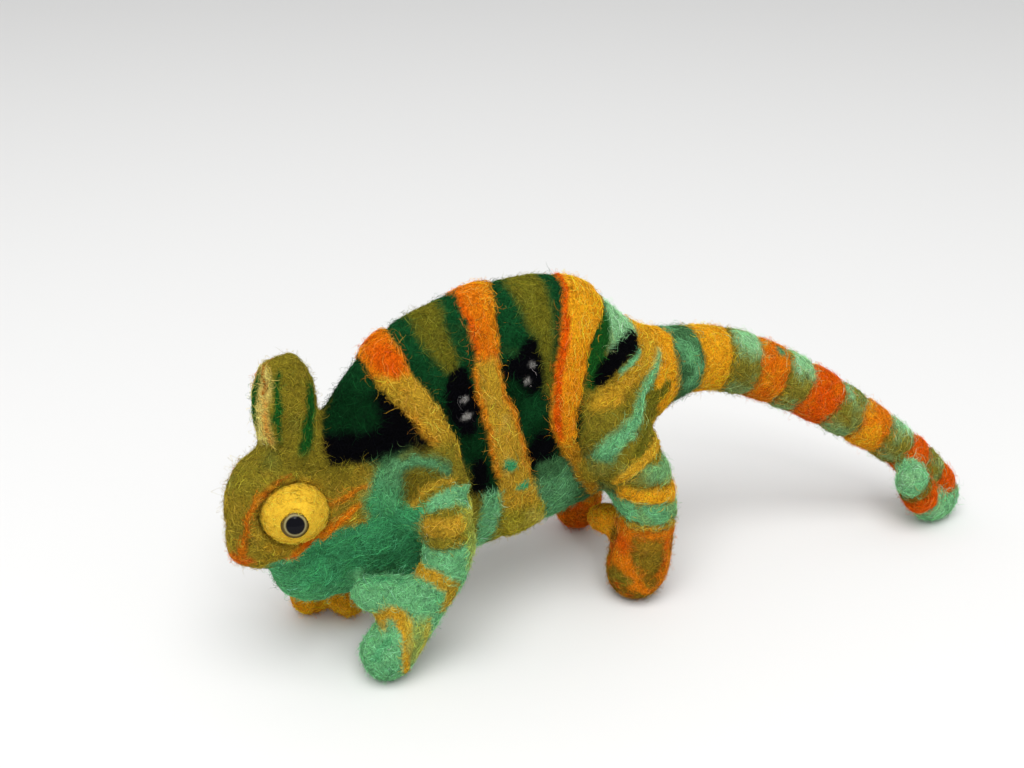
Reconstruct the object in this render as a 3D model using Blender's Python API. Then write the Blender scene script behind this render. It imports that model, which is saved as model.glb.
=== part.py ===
"""A needle-felted wool chameleon figurine, walking, with its tail tip curled on the floor.

Metres, +Z up. The head points to -X, the tail to +X and the chameleon's left side is -Y. The origin is
on the floor, under the middle of the whole figurine.

The wool body is modelled whole: an egg-shaped trunk, balls for the head and throat, and tapering rolls
for the tail and legs, melted into one skin. Thin cuts then part it into the pieces that a person would
name. The eye turrets and glass eyes are pieces of their own, set in sockets.

All design sizes below are millimetres in the walking frame: x runs back from a line through the chest,
y = 0 is the body's middle plane and z = 0 is the floor.
"""

import math

import bmesh
import bpy
from mathutils import Matrix, Vector

MM = 0.001

# How the wool is melted together and parted.
MELT_VOXEL = 1.15  # grid on which the overlapping shapes become one skin
MELT_SMOOTHING = 7  # rounds of smoothing, which fill the creases as felting does
SKIN_SHARE = 0.05  # share of the melted skin's triangles that is kept
CUT = 0.3  # width of the gap between two pieces
WELD = 0.01  # corners closer than this become one
SEGMENTS = 24  # round a ball or a roll
TURRET_SEGMENTS = 16  # round an eye turret
CUTTER_SEGMENTS = 12  # round a shape that only cuts
POLE_STEP = 0.35  # how far the first ring of a round end stands from its pole, in ring steps
CRUMB = 1.0  # a piece smaller than a cube with this side is a crumb of the cutting
FLOOR_BLOCK = (400.0, 200.0, 20.0)  # what levels the feet: its sizes
SHARP_ANGLE = math.radians(40)  # edges sharper than this stay sharp when shaded

# Trunk: where each section stands, its top, its bottom and its half width.
TRUNK_SECTIONS = (
    # x, top, bottom, half width
    (-45, 53.0, 24.0, 6.5),
    (-38, 60.3, 19.5, 9.0),
    (-30, 69.5, 16.0, 11.3),
    (-20, 76.3, 15.0, 13.0),
    (-8, 79.6, 15.5, 14.3),
    (6, 80.8, 17.2, 15.0),
    (18, 79.5, 19.2, 15.0),
    (28, 74.6, 22.0, 14.3),
    (38, 65.2, 31.5, 12.0),
    (48, 60.0, 40.5, 9.6),
    (60, 58.0, 41.8, 8.2),
)
TRUNK_RINGS = 40
RIDGE_NARROWING = 0.16  # how much slimmer a section is towards the back's ridge

# Head, which turns a little to the left about the neck. The balls it is felted from: centre, half sizes.
HEAD_TURN = math.radians(3)
NECK_PIVOT = (-34, 0)
HEAD_BALLS = {
    "forehead": ((-50.4, 0, 40.8), (13.0, 9.8, 13.8)),
    "muzzle": ((-54.8, 0, 34.2), (8.8, 7.6, 8.2)),
    "nose": ((-60.2, 0, 31.4), (3.2, 4.2, 3.8)),
    "cheeks": ((-40, 0, 39.0), (13.0, 11.4, 11.0)),
    "nape": ((-40, 0, 48.0), (8.0, 8.5, 9.0)),
    "casque_front": ((-49.6, 0, 62.4), (5.4, 5.8, 12.4)),
    "casque_back": ((-46.6, 0, 62.0), (6.2, 5.4, 13.1)),
    "casque_root": ((-46.6, 0, 53.0), (7.8, 6.6, 8.0)),
    "throat_front": ((-42.9, 0, 26.0), (11.8, 7.5, 12.8)),
    "throat_back": ((-34.0, 0, 26.0), (13.5, 7.2, 13.8)),
}
CHEST = ((-23.0, 0, 26.5), (10.0, 10.5, 14.3))

# The cuts that part head, casque, throat and neck: a point on each and the way it faces.
HEAD_CUT = ((-31.8, 0, 31), (0.975, 0, 0.222))
HEAD_CUT_RADIUS = 33.0  # it stops short of the casque, which leans back over it
NECK_CUT = ((-26.5, 0, 44), (0.975, 0, 0.222))
CASQUE_CUT = ((-47, 0, 54.5), (-0.10, 0, 1))
THROAT_CUT = ((-47, 0, 30.5), (-0.28, 0, 0.96))

# Eyes: a felt turret on each side and a domed glass eye that looks out, a little forward and up.
TURRET_CENTRE = (-51.0, 8.3, 42.0)
FAR_TURRET_SET_BACK = (1.6, -0.9, -1.2)  # the right turret sits further back, deeper and lower
TURRET_HALF = (7.4, 6.4, 6.7)  # along the head, outwards, up
TURRET_TURN = math.radians(16)  # how far each turret faces forward
GAZE_FORWARD = math.radians(20)
GAZE_UP = math.radians(16)
GLASS_RADIUS = 3.0
GLASS_DOME = 1.7  # how far the dome's top stands over its rim
GLASS_SINK = 1.6  # how deep the glass reaches into the turret
GLASS_AT = (-2.3, 5.4, 0.7)  # the rim's middle, from the turret's centre: back, out, up
GLASS_BACK = 0.94  # the back's radius, as a share of the rim's
DOME_STEPS = 5  # rings of the dome, its top included

# Tail: points of its centre line and the radius there, from inside the rump to the curled tip.
TAIL_PATH = (
    # x, y, z, radius
    (46, 0.0, 50.4, 9.0),
    (58, 0.0, 49.9, 8.5),
    (68, -1.6, 47.9, 8.2),
    (80, -5.0, 42.9, 7.7),
    (91, -9.6, 36.4, 7.1),
    (101, -14.8, 29.4, 6.5),
    (110.2, -19.4, 22.4, 5.8),
    (117.9, -22.8, 15.5, 5.3),
    (123.2, -25.0, 9.8, 5.0),
    (125.1, -26.2, 6.0, 4.8),
    (123.0, -27.0, 4.2, 4.7),
    (118.7, -28.0, 4.7, 4.5),
    (113.8, -28.8, 9.1, 4.6),
    (110.4, -29.0, 14.2, 4.8),
)
TAIL_CUTS = ((0.05, 4.0), (0.20, 3.0), (0.33, 2.5), (0.465, 2.0))  # share of the path, reach past the skin

# Legs: points of each centre line and the radius there, from inside the trunk to the toes.
FORE_CUTS = (0.36, 0.74)  # elbow and toes, as shares of the path
HIND_CUTS = (0.50, 0.76)  # knee and toes
JOINT_REACH = 14.0  # how far the elbow's or knee's cut reaches past the skin
TOE_REACH = 12.0
LEG_SHARE = 0.14  # where a leg's path comes out of the trunk
LEG_MARGIN = 1.8  # how much wider than its roll a leg is parted from the rest
THUMB_MARGIN = 1.2
INNER_TOES_SHARE = 0.5  # where the inner toes begin on their path
INNER_TOES_MARGIN = 1.5
STRETCH_ROWS = 4  # points that a cutting roll takes from a path
# Where the legs swell out of the trunk: middle and half sizes of the swelling, and of the cut round it.
SHOULDER = ((-21.5, 11.0, 42.0), (9.5, 7.5, 11.0))
SHOULDER_CUT = ((-21.5, 17.0, 42.0), (9.5, 8.0, 11.5))
HAUNCH = ((27.0, 8.5, 42.0), (12.5, 9.0, 15.0))
HAUNCH_CUT = ((27.0, 17.0, 42.0), (13.0, 9.0, 16.0))
LEFT_FORELEG = (
    (-22, -9.0, 44.0, 9.5),
    (-18.8, -16.6, 35.0, 6.4),
    (-20.2, -19.4, 26.0, 5.8),
    (-25.1, -18.6, 17.5, 5.5),
    (-29.7, -18.0, 11.8, 6.2),
    (-34.5, -17.8, 6.2, 6.7),
)
LEFT_FORETHUMB = (
    (-26.3, -18.0, 17.6, 5.2),
    (-31.4, -15.4, 18.8, 4.8),
    (-36.3, -12.8, 19.4, 4.4),
)
RIGHT_FORELEG = (
    (-22, 9.0, 44.0, 9.5),
    (-21, 16.5, 35.0, 6.0),
    (-20.5, 19.0, 26.0, 5.6),
    (-24, 17.6, 16.5, 5.4),
    (-31, 15.4, 8.6, 5.2),
    (-40.0, 14.2, 4.6, 5.2),
)
RIGHT_FORETHUMB = (
    (-25, 16.5, 15.0, 5.0),
    (-28.0, 11.4, 10.0, 4.8),
    (-32.4, 8.2, 4.2, 4.7),
)
LEFT_HINDLEG = (
    (24, -7.0, 46.0, 12.0),
    (29.2, -12.5, 37.0, 9.7),
    (33.4, -17.2, 28.0, 7.7),
    (34.2, -17.6, 18.0, 7.3),
    (32.6, -17.6, 9.4, 7.9),
    (31.6, -17.9, 6.9, 7.8),
)
LEFT_HINDTHUMB = (
    (33.6, -14.8, 16.4, 4.8),
    (31.4, -9.6, 16.2, 4.5),
    (29.6, -5.6, 15.5, 4.1),
)
RIGHT_HINDLEG = (
    (24, 7.0, 46.0, 12.0),
    (30.0, 12.5, 37.0, 9.4),
    (36.0, 17.6, 28.0, 7.2),
    (39.2, 18.0, 18.0, 6.5),
    (37.4, 17.0, 8.6, 6.6),
    (36.6, 16.6, 5.6, 6.4),
)
RIGHT_HINDTHUMB = (
    (39.6, 17.0, 14.0, 4.8),
    (38.2, 14.4, 11.4, 4.2),
    (37.0, 12.6, 9.4, 3.8),
)

WOOL_ROUGHNESS = 0.95
GLASS_ROUGHNESS = 0.05
GLASS_COLOUR = (0.02, 0.018, 0.015)
WOOL = {
    "olive": (0.30, 0.27, 0.05),
    "teal": (0.08, 0.33, 0.21),
    "mint": (0.18, 0.55, 0.36),
    "forest": (0.01, 0.12, 0.06),
    "amber": (0.75, 0.36, 0.03),
    "rust": (0.65, 0.14, 0.02),
    "yellow": (0.78, 0.55, 0.06),
}
# The wool of each piece, by its name or by the end of its name.
PIECE_WOOL = {
    "head": "olive",
    "casque": "olive",
    "throat": "teal",
    "neck": "forest",
    "trunk": "forest",
    "tail_base": "amber",
    "tail_middle": "rust",
    "tail_end": "amber",
    "tail_curl": "mint",
    "upper": "olive",
    "lower": "mint",
    "left_foreleg_outer_toes": "mint",
    "outer_toes": "rust",
    "inner_toes": "amber",
    "eye_turret": "yellow",
}


def clear_scene():
    for thing in list(bpy.data.objects):
        bpy.data.objects.remove(thing)


def wool(name):
    """A matt wool material of one dyed colour."""
    found = bpy.data.materials.get(name)
    if found:
        return found
    material = bpy.data.materials.new(name)
    material.use_nodes = True
    shader = material.node_tree.nodes["Principled BSDF"]
    shader.inputs["Base Color"].default_value = (*WOOL[name], 1)
    shader.inputs["Roughness"].default_value = WOOL_ROUGHNESS
    shader.inputs["Metallic"].default_value = 0.0
    return material


def eye_glass_material():
    """The eye's polished glass, black behind."""
    material = bpy.data.materials.new("eye_glass")
    material.use_nodes = True
    shader = material.node_tree.nodes["Principled BSDF"]
    shader.inputs["Base Color"].default_value = (*GLASS_COLOUR, 1)
    shader.inputs["Roughness"].default_value = GLASS_ROUGHNESS
    shader.inputs["Metallic"].default_value = 0.0
    return material


def object_from(name, mesh):
    made = bpy.data.objects.new(name, mesh)
    bpy.context.scene.collection.objects.link(made)
    return made


def ball(name, centre, half, turn=0.0, segments=SEGMENTS):
    """An ellipsoid with its centre and half sizes in mm, turned about its own upright axis."""
    shape = bmesh.new()
    bmesh.ops.create_uvsphere(shape, u_segments=segments, v_segments=segments // 2, radius=1)
    place = (
        Matrix.Translation(Vector(centre) * MM)
        @ Matrix.Rotation(turn, 4, "Z")
        @ Matrix.Diagonal((*[size * MM for size in half], 1))
    )
    bmesh.ops.transform(shape, matrix=place, verts=shape.verts)
    mesh = bpy.data.meshes.new(name)
    shape.to_mesh(mesh)
    shape.free()
    return object_from(name, mesh)


def smooth_between(rows, share):
    """The row at this share of the way along rows, on a Catmull-Rom curve through them."""
    spans = len(rows) - 1
    place = min(max(share, 0.0), 1.0) * spans
    span = min(int(place), spans - 1)
    t = place - span
    before = rows[max(span - 1, 0)]
    start = rows[span]
    end = rows[span + 1]
    after = rows[min(span + 2, spans)]
    return [
        0.5 * (2 * b + (c - a) * t + (2 * a - 5 * b + 4 * c - d) * t**2 + (3 * b - a - 3 * c + d) * t**3)
        for a, b, c, d in zip(before, start, end, after)
    ]


def skin_over(name, rings):
    """A closed surface over a list of rings, each a list of points, with a fan on both ends."""
    shape = bmesh.new()
    loops = [[shape.verts.new(point) for point in ring] for ring in rings]
    count = len(loops[0])
    for near, far in zip(loops, loops[1:]):
        for i in range(count):
            j = (i + 1) % count
            shape.faces.new((near[i], near[j], far[j], far[i]))
    shape.faces.new(reversed(loops[0]))
    shape.faces.new(loops[-1])
    bmesh.ops.recalc_face_normals(shape, faces=shape.faces)
    mesh = bpy.data.meshes.new(name)
    shape.to_mesh(mesh)
    shape.free()
    return object_from(name, mesh)


def roll(name, path, segments=SEGMENTS, spans=6):
    """A tapering roll of wool with round ends along path, whose rows are x, y, z, radius in mm."""
    steps = spans * (len(path) - 1)
    rows = [smooth_between(path, i / steps) for i in range(steps + 1)]
    points = [Vector(row[:3]) for row in rows]
    radii = [row[3] for row in rows]
    heading = (points[1] - points[0]).normalized()
    side = heading.orthogonal().normalized()
    rings = []
    frames = []
    for i, point in enumerate(points):
        ahead = points[min(i + 1, steps)] - points[max(i - 1, 0)]
        turned = heading.rotation_difference(ahead.normalized())
        side = turned @ side
        heading = ahead.normalized()
        frames.append((point, heading, side, heading.cross(side)))
    bend_steps = max(2, segments // 6)
    # A quarter circle of shrinking rings rounds each end.
    for k in range(bend_steps):
        angle = math.pi / 2 * (1 - (k + POLE_STEP) / bend_steps)
        round_at, ahead = radii[0] * math.cos(angle), -radii[0] * math.sin(angle)
        rings.append(ring_at(frames[0], round_at, ahead, segments))
    rings += [ring_at(frame, radius, 0.0, segments) for frame, radius in zip(frames, radii)]
    for k in reversed(range(bend_steps)):
        angle = math.pi / 2 * (1 - (k + POLE_STEP) / bend_steps)
        round_at, ahead = radii[-1] * math.cos(angle), radii[-1] * math.sin(angle)
        rings.append(ring_at(frames[-1], round_at, ahead, segments))
    return skin_over(name, rings)


def ring_at(frame, radius, ahead, segments):
    """A circle round the frame's heading, this far ahead of its point, in metres."""
    point, heading, side, up = frame
    ring = []
    for i in range(segments):
        angle = 2 * math.pi * i / segments
        spoke = side * math.cos(angle) + up * math.sin(angle)
        ring.append((point + heading * ahead + spoke * radius) * MM)
    return ring


def trunk_roll():
    """The trunk: egg-shaped sections, slimmer towards the ridge of the back."""
    rings = []
    for i in range(TRUNK_RINGS + 1):
        x, top, bottom, half_width = smooth_between(TRUNK_SECTIONS, i / TRUNK_RINGS)
        middle = (top + bottom) / 2
        half_height = (top - bottom) / 2
        ring = []
        for k in range(2 * SEGMENTS):
            angle = math.pi * k / SEGMENTS
            width = half_width * (1 - RIDGE_NARROWING * math.cos(angle))
            ring.append(
                Vector((x, width * math.sin(angle), middle + half_height * math.cos(angle))) * MM
            )
        rings.append(ring)
    return skin_over("trunk_roll", rings)


def turned_with_head(point):
    """A point of the straight head, in mm, where the head's turn takes it."""
    x = point[0] - NECK_PIVOT[0]
    y = point[1] - NECK_PIVOT[1]
    cosine = math.cos(HEAD_TURN)
    sine = math.sin(HEAD_TURN)
    return (
        NECK_PIVOT[0] + x * cosine - y * sine,
        NECK_PIVOT[1] + x * sine + y * cosine,
        point[2],
    )


def on_side(place, side):
    """A place on the right side (side 1), or mirrored to the left (side -1)."""
    return (place[0], side * place[1], place[2])


def head_rolls():
    """The head's balls, and the chest that joins the throat to the trunk."""
    balls = [
        ball(name, turned_with_head(centre), half, HEAD_TURN)
        for name, (centre, half) in HEAD_BALLS.items()
    ]
    return balls + [ball("chest", *CHEST)]


def limb_rolls():
    swellings = [
        ball(name, on_side(centre, side), half)
        for name, (centre, half) in (("shoulder", SHOULDER), ("haunch", HAUNCH))
        for side in (-1, 1)
    ]
    paths = {
        "tail": TAIL_PATH,
        "left_foreleg": LEFT_FORELEG,
        "left_forethumb": LEFT_FORETHUMB,
        "right_foreleg": RIGHT_FORELEG,
        "right_forethumb": RIGHT_FORETHUMB,
        "left_hindleg": LEFT_HINDLEG,
        "left_hindthumb": LEFT_HINDTHUMB,
        "right_hindleg": RIGHT_HINDLEG,
        "right_hindthumb": RIGHT_HINDTHUMB,
    }
    return swellings + [roll(name, path) for name, path in paths.items()]


def applied(thing, *modifiers):
    """thing's mesh with these modifiers applied: each is a type and its settings."""
    for kind, settings in modifiers:
        modifier = thing.modifiers.new(kind.lower(), kind)
        for key, value in settings.items():
            setattr(modifier, key, value)
    graph = bpy.context.evaluated_depsgraph_get()
    mesh = bpy.data.meshes.new_from_object(thing.evaluated_get(graph))
    thing.modifiers.clear()
    return mesh


def joined(name, things):
    """One object that holds the faces of all these things, which are then removed."""
    shape = bmesh.new()
    for thing in things:
        shape.from_mesh(thing.data)
        bpy.data.objects.remove(thing)
    mesh = bpy.data.meshes.new(name)
    shape.to_mesh(mesh)
    shape.free()
    return object_from(name, mesh)


def melted(things):
    """The things felted into one body: a voxel skin over all of them, smoothed and thinned."""
    body = joined("body", things)
    body.data = applied(
        body,
        ("REMESH", {"mode": "VOXEL", "voxel_size": MELT_VOXEL * MM}),
        ("SMOOTH", {"factor": 0.5, "iterations": MELT_SMOOTHING}),
        ("DECIMATE", {"ratio": SKIN_SHARE}),
    )
    return body


def combined(body, other, operation):
    """body after a Boolean with other, which stays as it is. Its faces become clean triangles."""
    body.data = applied(
        body, ("BOOLEAN", {"operation": operation, "object": other, "solver": "EXACT"})
    )
    shape = bmesh.new()
    shape.from_mesh(body.data)
    bmesh.ops.remove_doubles(shape, verts=shape.verts, dist=WELD * MM)
    bmesh.ops.dissolve_degenerate(shape, edges=shape.edges, dist=WELD * MM)
    bmesh.ops.triangulate(shape, faces=shape.faces)
    shape.to_mesh(body.data)
    shape.free()
    return body


def cut_off(body, cutter):
    """Take cutter out of body and remove the cutter."""
    combined(body, cutter, "DIFFERENCE")
    bpy.data.objects.remove(cutter)


def copied(thing, name):
    return object_from(name, thing.data.copy())


def plate(centre, normal, radius=70.0):
    """A thin round plate that parts what it passes through, with its sizes in mm."""
    shape = bmesh.new()
    bmesh.ops.create_cone(
        shape,
        cap_ends=True,
        segments=SEGMENTS,
        radius1=radius * MM,
        radius2=radius * MM,
        depth=CUT * MM,
    )
    turn = Vector((0, 0, 1)).rotation_difference(Vector(normal)).to_matrix().to_4x4()
    place = Matrix.Translation(Vector(centre) * MM) @ turn
    bmesh.ops.transform(shape, matrix=place, verts=shape.verts)
    mesh = bpy.data.meshes.new("plate")
    shape.to_mesh(mesh)
    shape.free()
    return object_from("plate", mesh)


def plate_across(path, share, reach):
    """A plate square to path at this share of its length, wider than the roll by reach."""
    here = smooth_between(path, share)
    before = Vector(smooth_between(path, share - 0.01)[:3])
    after = Vector(smooth_between(path, share + 0.01)[:3])
    return plate(here[:3], after - before, here[3] + reach)


def islands(thing, name):
    """The separate closed surfaces in thing's mesh, each as an object; thing is removed."""
    source = bmesh.new()
    source.from_mesh(thing.data)
    bpy.data.objects.remove(thing)
    bmesh.ops.remove_doubles(source, verts=source.verts, dist=WELD * MM)
    unseen = set(source.verts)
    found = []
    while unseen:
        stack = [unseen.pop()]
        island = {stack[0]}
        while stack:
            for edge in stack.pop().link_edges:
                for vert in edge.verts:
                    if vert in unseen:
                        unseen.remove(vert)
                        island.add(vert)
                        stack.append(vert)
        found.append(island)
    made = []
    for island in found:
        piece = source.copy()
        piece.verts.ensure_lookup_table()
        keep = {vert.index for vert in island}
        gone = [vert for vert in piece.verts if vert.index not in keep]
        bmesh.ops.delete(piece, geom=gone, context="VERTS")
        if abs(piece.calc_volume()) > (CRUMB * MM) ** 3:
            mesh = bpy.data.meshes.new(name)
            piece.to_mesh(mesh)
            made.append(object_from(name, mesh))
        piece.free()
    source.free()
    return made


def middle_of(thing):
    """The middle of thing's box, in mm."""
    corners = [vert.co for vert in thing.data.vertices]
    low = [min(corner[axis] for corner in corners) for axis in range(3)]
    high = [max(corner[axis] for corner in corners) for axis in range(3)]
    return Vector([(a + b) / 2 / MM for a, b in zip(low, high)])


def parted(thing, cutter, direction):
    """The two pieces of thing on either side of cutter, the one further along direction last."""
    cut_off(thing, cutter)
    pieces = islands(thing, thing.name)
    pieces.sort(key=lambda piece: middle_of(piece).dot(Vector(direction)))
    if len(pieces) != 2:
        raise ValueError(f"a cut of {len(pieces)} pieces at {[tuple(middle_of(p)) for p in pieces]}")
    return pieces


def region(balls, rolls, grow):
    """One closed shape round these balls (centre, half sizes) and rolls (paths), all grown by grow."""
    shapes = [
        ball("region", centre, [size + grow for size in half], segments=CUTTER_SEGMENTS)
        for centre, half in balls
    ]
    shapes += [
        roll("region", [(x, y, z, r + grow) for x, y, z, r in path], CUTTER_SEGMENTS, 2)
        for path in rolls
    ]
    whole = shapes[0]
    for shape in shapes[1:]:
        combined(whole, shape, "UNION")
        bpy.data.objects.remove(shape)
    return whole


def taken_out(body, balls, rolls, name):
    """The part of body inside a region. The rest of body keeps clear of it by the cut's width."""
    inside = region(balls, rolls, 0.0)
    part = combined(copied(body, name), inside, "INTERSECT")
    bpy.data.objects.remove(inside)
    cut_off(body, region(balls, rolls, CUT))
    return part


def stretch(path, first, last, more):
    """The rows of path from one share to another, grown by more."""
    rows = []
    for i in range(STRETCH_ROWS):
        row = smooth_between(path, first + (last - first) * i / (STRETCH_ROWS - 1))
        rows.append((row[0], row[1], row[2], row[3] + more))
    return rows


def leg_pieces(body, name, joint, path, thumb, cuts):
    """The upper leg, lower leg, outer toes and inner toes of one leg, cut out of body."""
    along = [stretch(path, LEG_SHARE, 1.0, LEG_MARGIN), stretch(thumb, 0.0, 1.0, THUMB_MARGIN)]
    leg = taken_out(body, [joint], along, name)
    leg = largest(islands(leg, name))
    toes = stretch(thumb, INNER_TOES_SHARE, 1.0, INNER_TOES_MARGIN)
    inner = taken_out(leg, [], [toes], name)
    inner = largest(islands(inner, name))
    leg = largest(islands(leg, name))
    upper, lower = parted(leg, plate_across(path, cuts[0], JOINT_REACH), (0, 0, -1))
    lower, outer = parted(lower, plate_across(path, cuts[1], TOE_REACH), (0, 0, -1))
    return {"upper": upper, "lower": lower, "outer_toes": outer, "inner_toes": inner}


def largest(pieces):
    """The piece with the most corners; the rest are crumbs and are removed."""
    pieces = sorted(pieces, key=lambda piece: len(piece.data.vertices))
    for crumb in pieces[:-1]:
        bpy.data.objects.remove(crumb)
    return pieces[-1]


def floor_block():
    """What would reach below the floor, so that each foot gets a small flat."""
    shape = bmesh.new()
    size = [side * MM for side in FLOOR_BLOCK]
    matrix = Matrix.Translation((0, 0, -size[2] / 2)) @ Matrix.Diagonal((*size, 1))
    bmesh.ops.create_cube(shape, size=1, matrix=matrix)
    mesh = bpy.data.meshes.new("floor_block")
    shape.to_mesh(mesh)
    shape.free()
    return object_from("floor_block", mesh)


def turret_centre(side):
    """The middle of the right (side 1) or left (side -1) turret, on the straight head."""
    centre = Vector(TURRET_CENTRE)
    if side > 0:
        centre += Vector(FAR_TURRET_SET_BACK)
    return Vector(on_side(centre, side))


def glass_eye(name, side, grow):
    """A domed glass eye set into the turret: a short drum with a dome on it, grown by grow."""
    radius = GLASS_RADIUS + grow
    rings = []
    for depth, share in ((-GLASS_SINK - grow, GLASS_BACK), (-GLASS_SINK / 2, 1.0), (0.0, 1.0)):
        rings.append((depth, radius * share))
    for k in range(1, DOME_STEPS):
        angle = math.pi / 2 * k / DOME_STEPS
        rings.append(((GLASS_DOME + grow) * math.sin(angle), radius * math.cos(angle)))
    centre = turret_centre(side) + Vector((GLASS_AT[0], side * GLASS_AT[1], GLASS_AT[2]))
    level = math.cos(GAZE_UP)
    forward, outward = math.sin(GAZE_FORWARD) * level, math.cos(GAZE_FORWARD) * level
    gaze = Vector((-forward, side * outward, math.sin(GAZE_UP)))
    turn = Vector((0, 0, 1)).rotation_difference(gaze).to_matrix()
    placed = []
    for height, round_at in rings:
        ring = []
        for i in range(SEGMENTS):
            angle = 2 * math.pi * i / SEGMENTS
            spoke = Vector((round_at * math.cos(angle), round_at * math.sin(angle), height))
            ring.append(Vector(turned_with_head(centre + turn @ spoke)) * MM)
        placed.append(ring)
    return skin_over(name, placed)


def eye_pieces(head, name, side):
    """A turret seated in the head and a glass eye seated in the turret."""
    centre = turret_centre(side)
    turn = HEAD_TURN + side * TURRET_TURN
    turret = ball(f"{name}_eye_turret", turned_with_head(centre), TURRET_HALF, turn, TURRET_SEGMENTS)
    around = [size + CUT for size in TURRET_HALF]
    cut_off(head, ball("socket", turned_with_head(centre), around, turn, TURRET_SEGMENTS))
    for wool_piece in (head, turret):
        cut_off(wool_piece, glass_eye("seat", side, CUT))
    return turret, glass_eye(f"{name}_glass_eye", side, 0.0)


def finished(piece, name, material):
    piece.name = name
    piece.data.name = name
    piece.data.materials.clear()
    piece.data.materials.append(material)
    piece.data.shade_smooth()
    piece.data.set_sharp_from_angle(angle=SHARP_ANGLE)


def recentred(pieces):
    """Move every piece so that the origin is under the middle of the whole, and say by how much, in mm."""
    corners = [vert.co for piece in pieces for vert in piece.data.vertices]
    shift = [-(min(c[a] for c in corners) + max(c[a] for c in corners)) / 2 for a in range(2)]
    shift.append(-min(c[2] for c in corners))
    for piece in pieces:
        piece.data.transform(Matrix.Translation(shift))
    return [round(move / MM, 3) for move in shift]


def main():
    clear_scene()
    body = melted([trunk_roll()] + head_rolls() + limb_rolls())
    cut_off(body, floor_block())

    pieces = {}
    for name, side, swelling, path, thumb, cuts in (
        ("left_foreleg", -1, SHOULDER_CUT, LEFT_FORELEG, LEFT_FORETHUMB, FORE_CUTS),
        ("right_foreleg", 1, SHOULDER_CUT, RIGHT_FORELEG, RIGHT_FORETHUMB, FORE_CUTS),
        ("left_hindleg", -1, HAUNCH_CUT, LEFT_HINDLEG, LEFT_HINDTHUMB, HIND_CUTS),
        ("right_hindleg", 1, HAUNCH_CUT, RIGHT_HINDLEG, RIGHT_HINDTHUMB, HIND_CUTS),
    ):
        joint = (on_side(swelling[0], side), swelling[1])
        for part, piece in leg_pieces(body, name, joint, path, thumb, cuts).items():
            pieces[f"{name}_{part}"] = piece

    body = largest(islands(body, "body"))
    body, tail = parted(body, plate_across(TAIL_PATH, *TAIL_CUTS[0]), (1, 0, 0))
    for name, (share, reach) in zip(("tail_base", "tail_middle", "tail_end"), TAIL_CUTS[1:]):
        pieces[name], tail = parted(tail, plate_across(TAIL_PATH, share, reach), (1, 0, 0))
    pieces["tail_curl"] = tail

    head, body = parted(body, plate(*HEAD_CUT, HEAD_CUT_RADIUS), (1, 0, 0))
    pieces["neck"], pieces["trunk"] = parted(body, plate(*NECK_CUT), (1, 0, 0))
    casque_point, casque_facing = CASQUE_CUT
    casque_plate = plate(turned_with_head(casque_point), casque_facing)
    head, pieces["casque"] = parted(head, casque_plate, (0, 0, 1))
    pieces["throat"], head = parted(head, plate(*THROAT_CUT), (0, 0, 1))
    for name, side in (("left", -1), ("right", 1)):
        turret, glass = eye_pieces(head, name, side)
        pieces[f"{name}_eye_turret"] = turret
        pieces[f"{name}_glass_eye"] = glass
    pieces["head"] = largest(islands(head, "head"))

    glass = eye_glass_material()
    for name, piece in pieces.items():
        if name.endswith("glass_eye"):
            finished(piece, name, glass)
        else:
            colour = next(PIECE_WOOL[key] for key in PIECE_WOOL if name.endswith(key))
            finished(piece, name, wool(colour))
    return recentred(list(pieces.values()))


ORIGIN_SHIFT = main()
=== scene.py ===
# %% [markdown]
# # A needle-felted wool chameleon
#
# The real figurine is made from loose dyed wool. The maker rolls it into a body, stabs it with a barbed
# needle until the fibres mat together, and then lays thin strands of other colours on top and stabs those
# fast too. This lesson makes it in the same order: one matted skin, strands of colour laid on it, then the
# loose fibres that stand over any felt, and last the two glass eyes.

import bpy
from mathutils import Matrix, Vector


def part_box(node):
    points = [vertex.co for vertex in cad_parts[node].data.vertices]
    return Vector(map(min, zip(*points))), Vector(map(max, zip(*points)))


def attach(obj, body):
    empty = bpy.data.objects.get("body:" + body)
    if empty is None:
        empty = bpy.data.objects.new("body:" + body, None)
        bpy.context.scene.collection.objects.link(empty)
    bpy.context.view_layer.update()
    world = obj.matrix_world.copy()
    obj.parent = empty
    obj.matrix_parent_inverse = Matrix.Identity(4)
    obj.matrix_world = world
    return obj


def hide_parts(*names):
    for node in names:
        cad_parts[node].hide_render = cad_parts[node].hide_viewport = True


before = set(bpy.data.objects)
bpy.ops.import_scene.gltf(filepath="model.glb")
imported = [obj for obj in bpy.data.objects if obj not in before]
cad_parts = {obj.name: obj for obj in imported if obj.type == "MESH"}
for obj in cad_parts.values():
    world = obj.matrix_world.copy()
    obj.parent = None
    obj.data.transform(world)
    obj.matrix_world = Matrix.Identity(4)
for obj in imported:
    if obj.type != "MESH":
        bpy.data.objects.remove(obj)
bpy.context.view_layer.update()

import math

import bmesh
import bpy
import numpy as np
from mathutils import Vector

print("solids in the frame:", len(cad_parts))

# %% [markdown]
# ## A place to stand
#
# The solids sit in the frame that the whole library shares. Drawing is easier in millimetres, with x running
# from nose to tail, y across and z up from the floor. The trunk's box says where that frame lies, so nothing
# is fitted by eye.

# %% Millimetres on the body
MM = 0.001
TRUNK_FRONT = -31.69  # where the trunk begins in the body's own frame
trunk_low, trunk_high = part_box("trunk")
ORIGIN = np.array([trunk_low.x / MM - TRUNK_FRONT, (trunk_low.y + trunk_high.y) / 2 / MM, 0.0])


def to_body(points):
    """Metres in the shared frame to millimetres on the body: divide by a millimetre, take the origin away."""
    return np.asarray(points) / MM - ORIGIN


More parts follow.
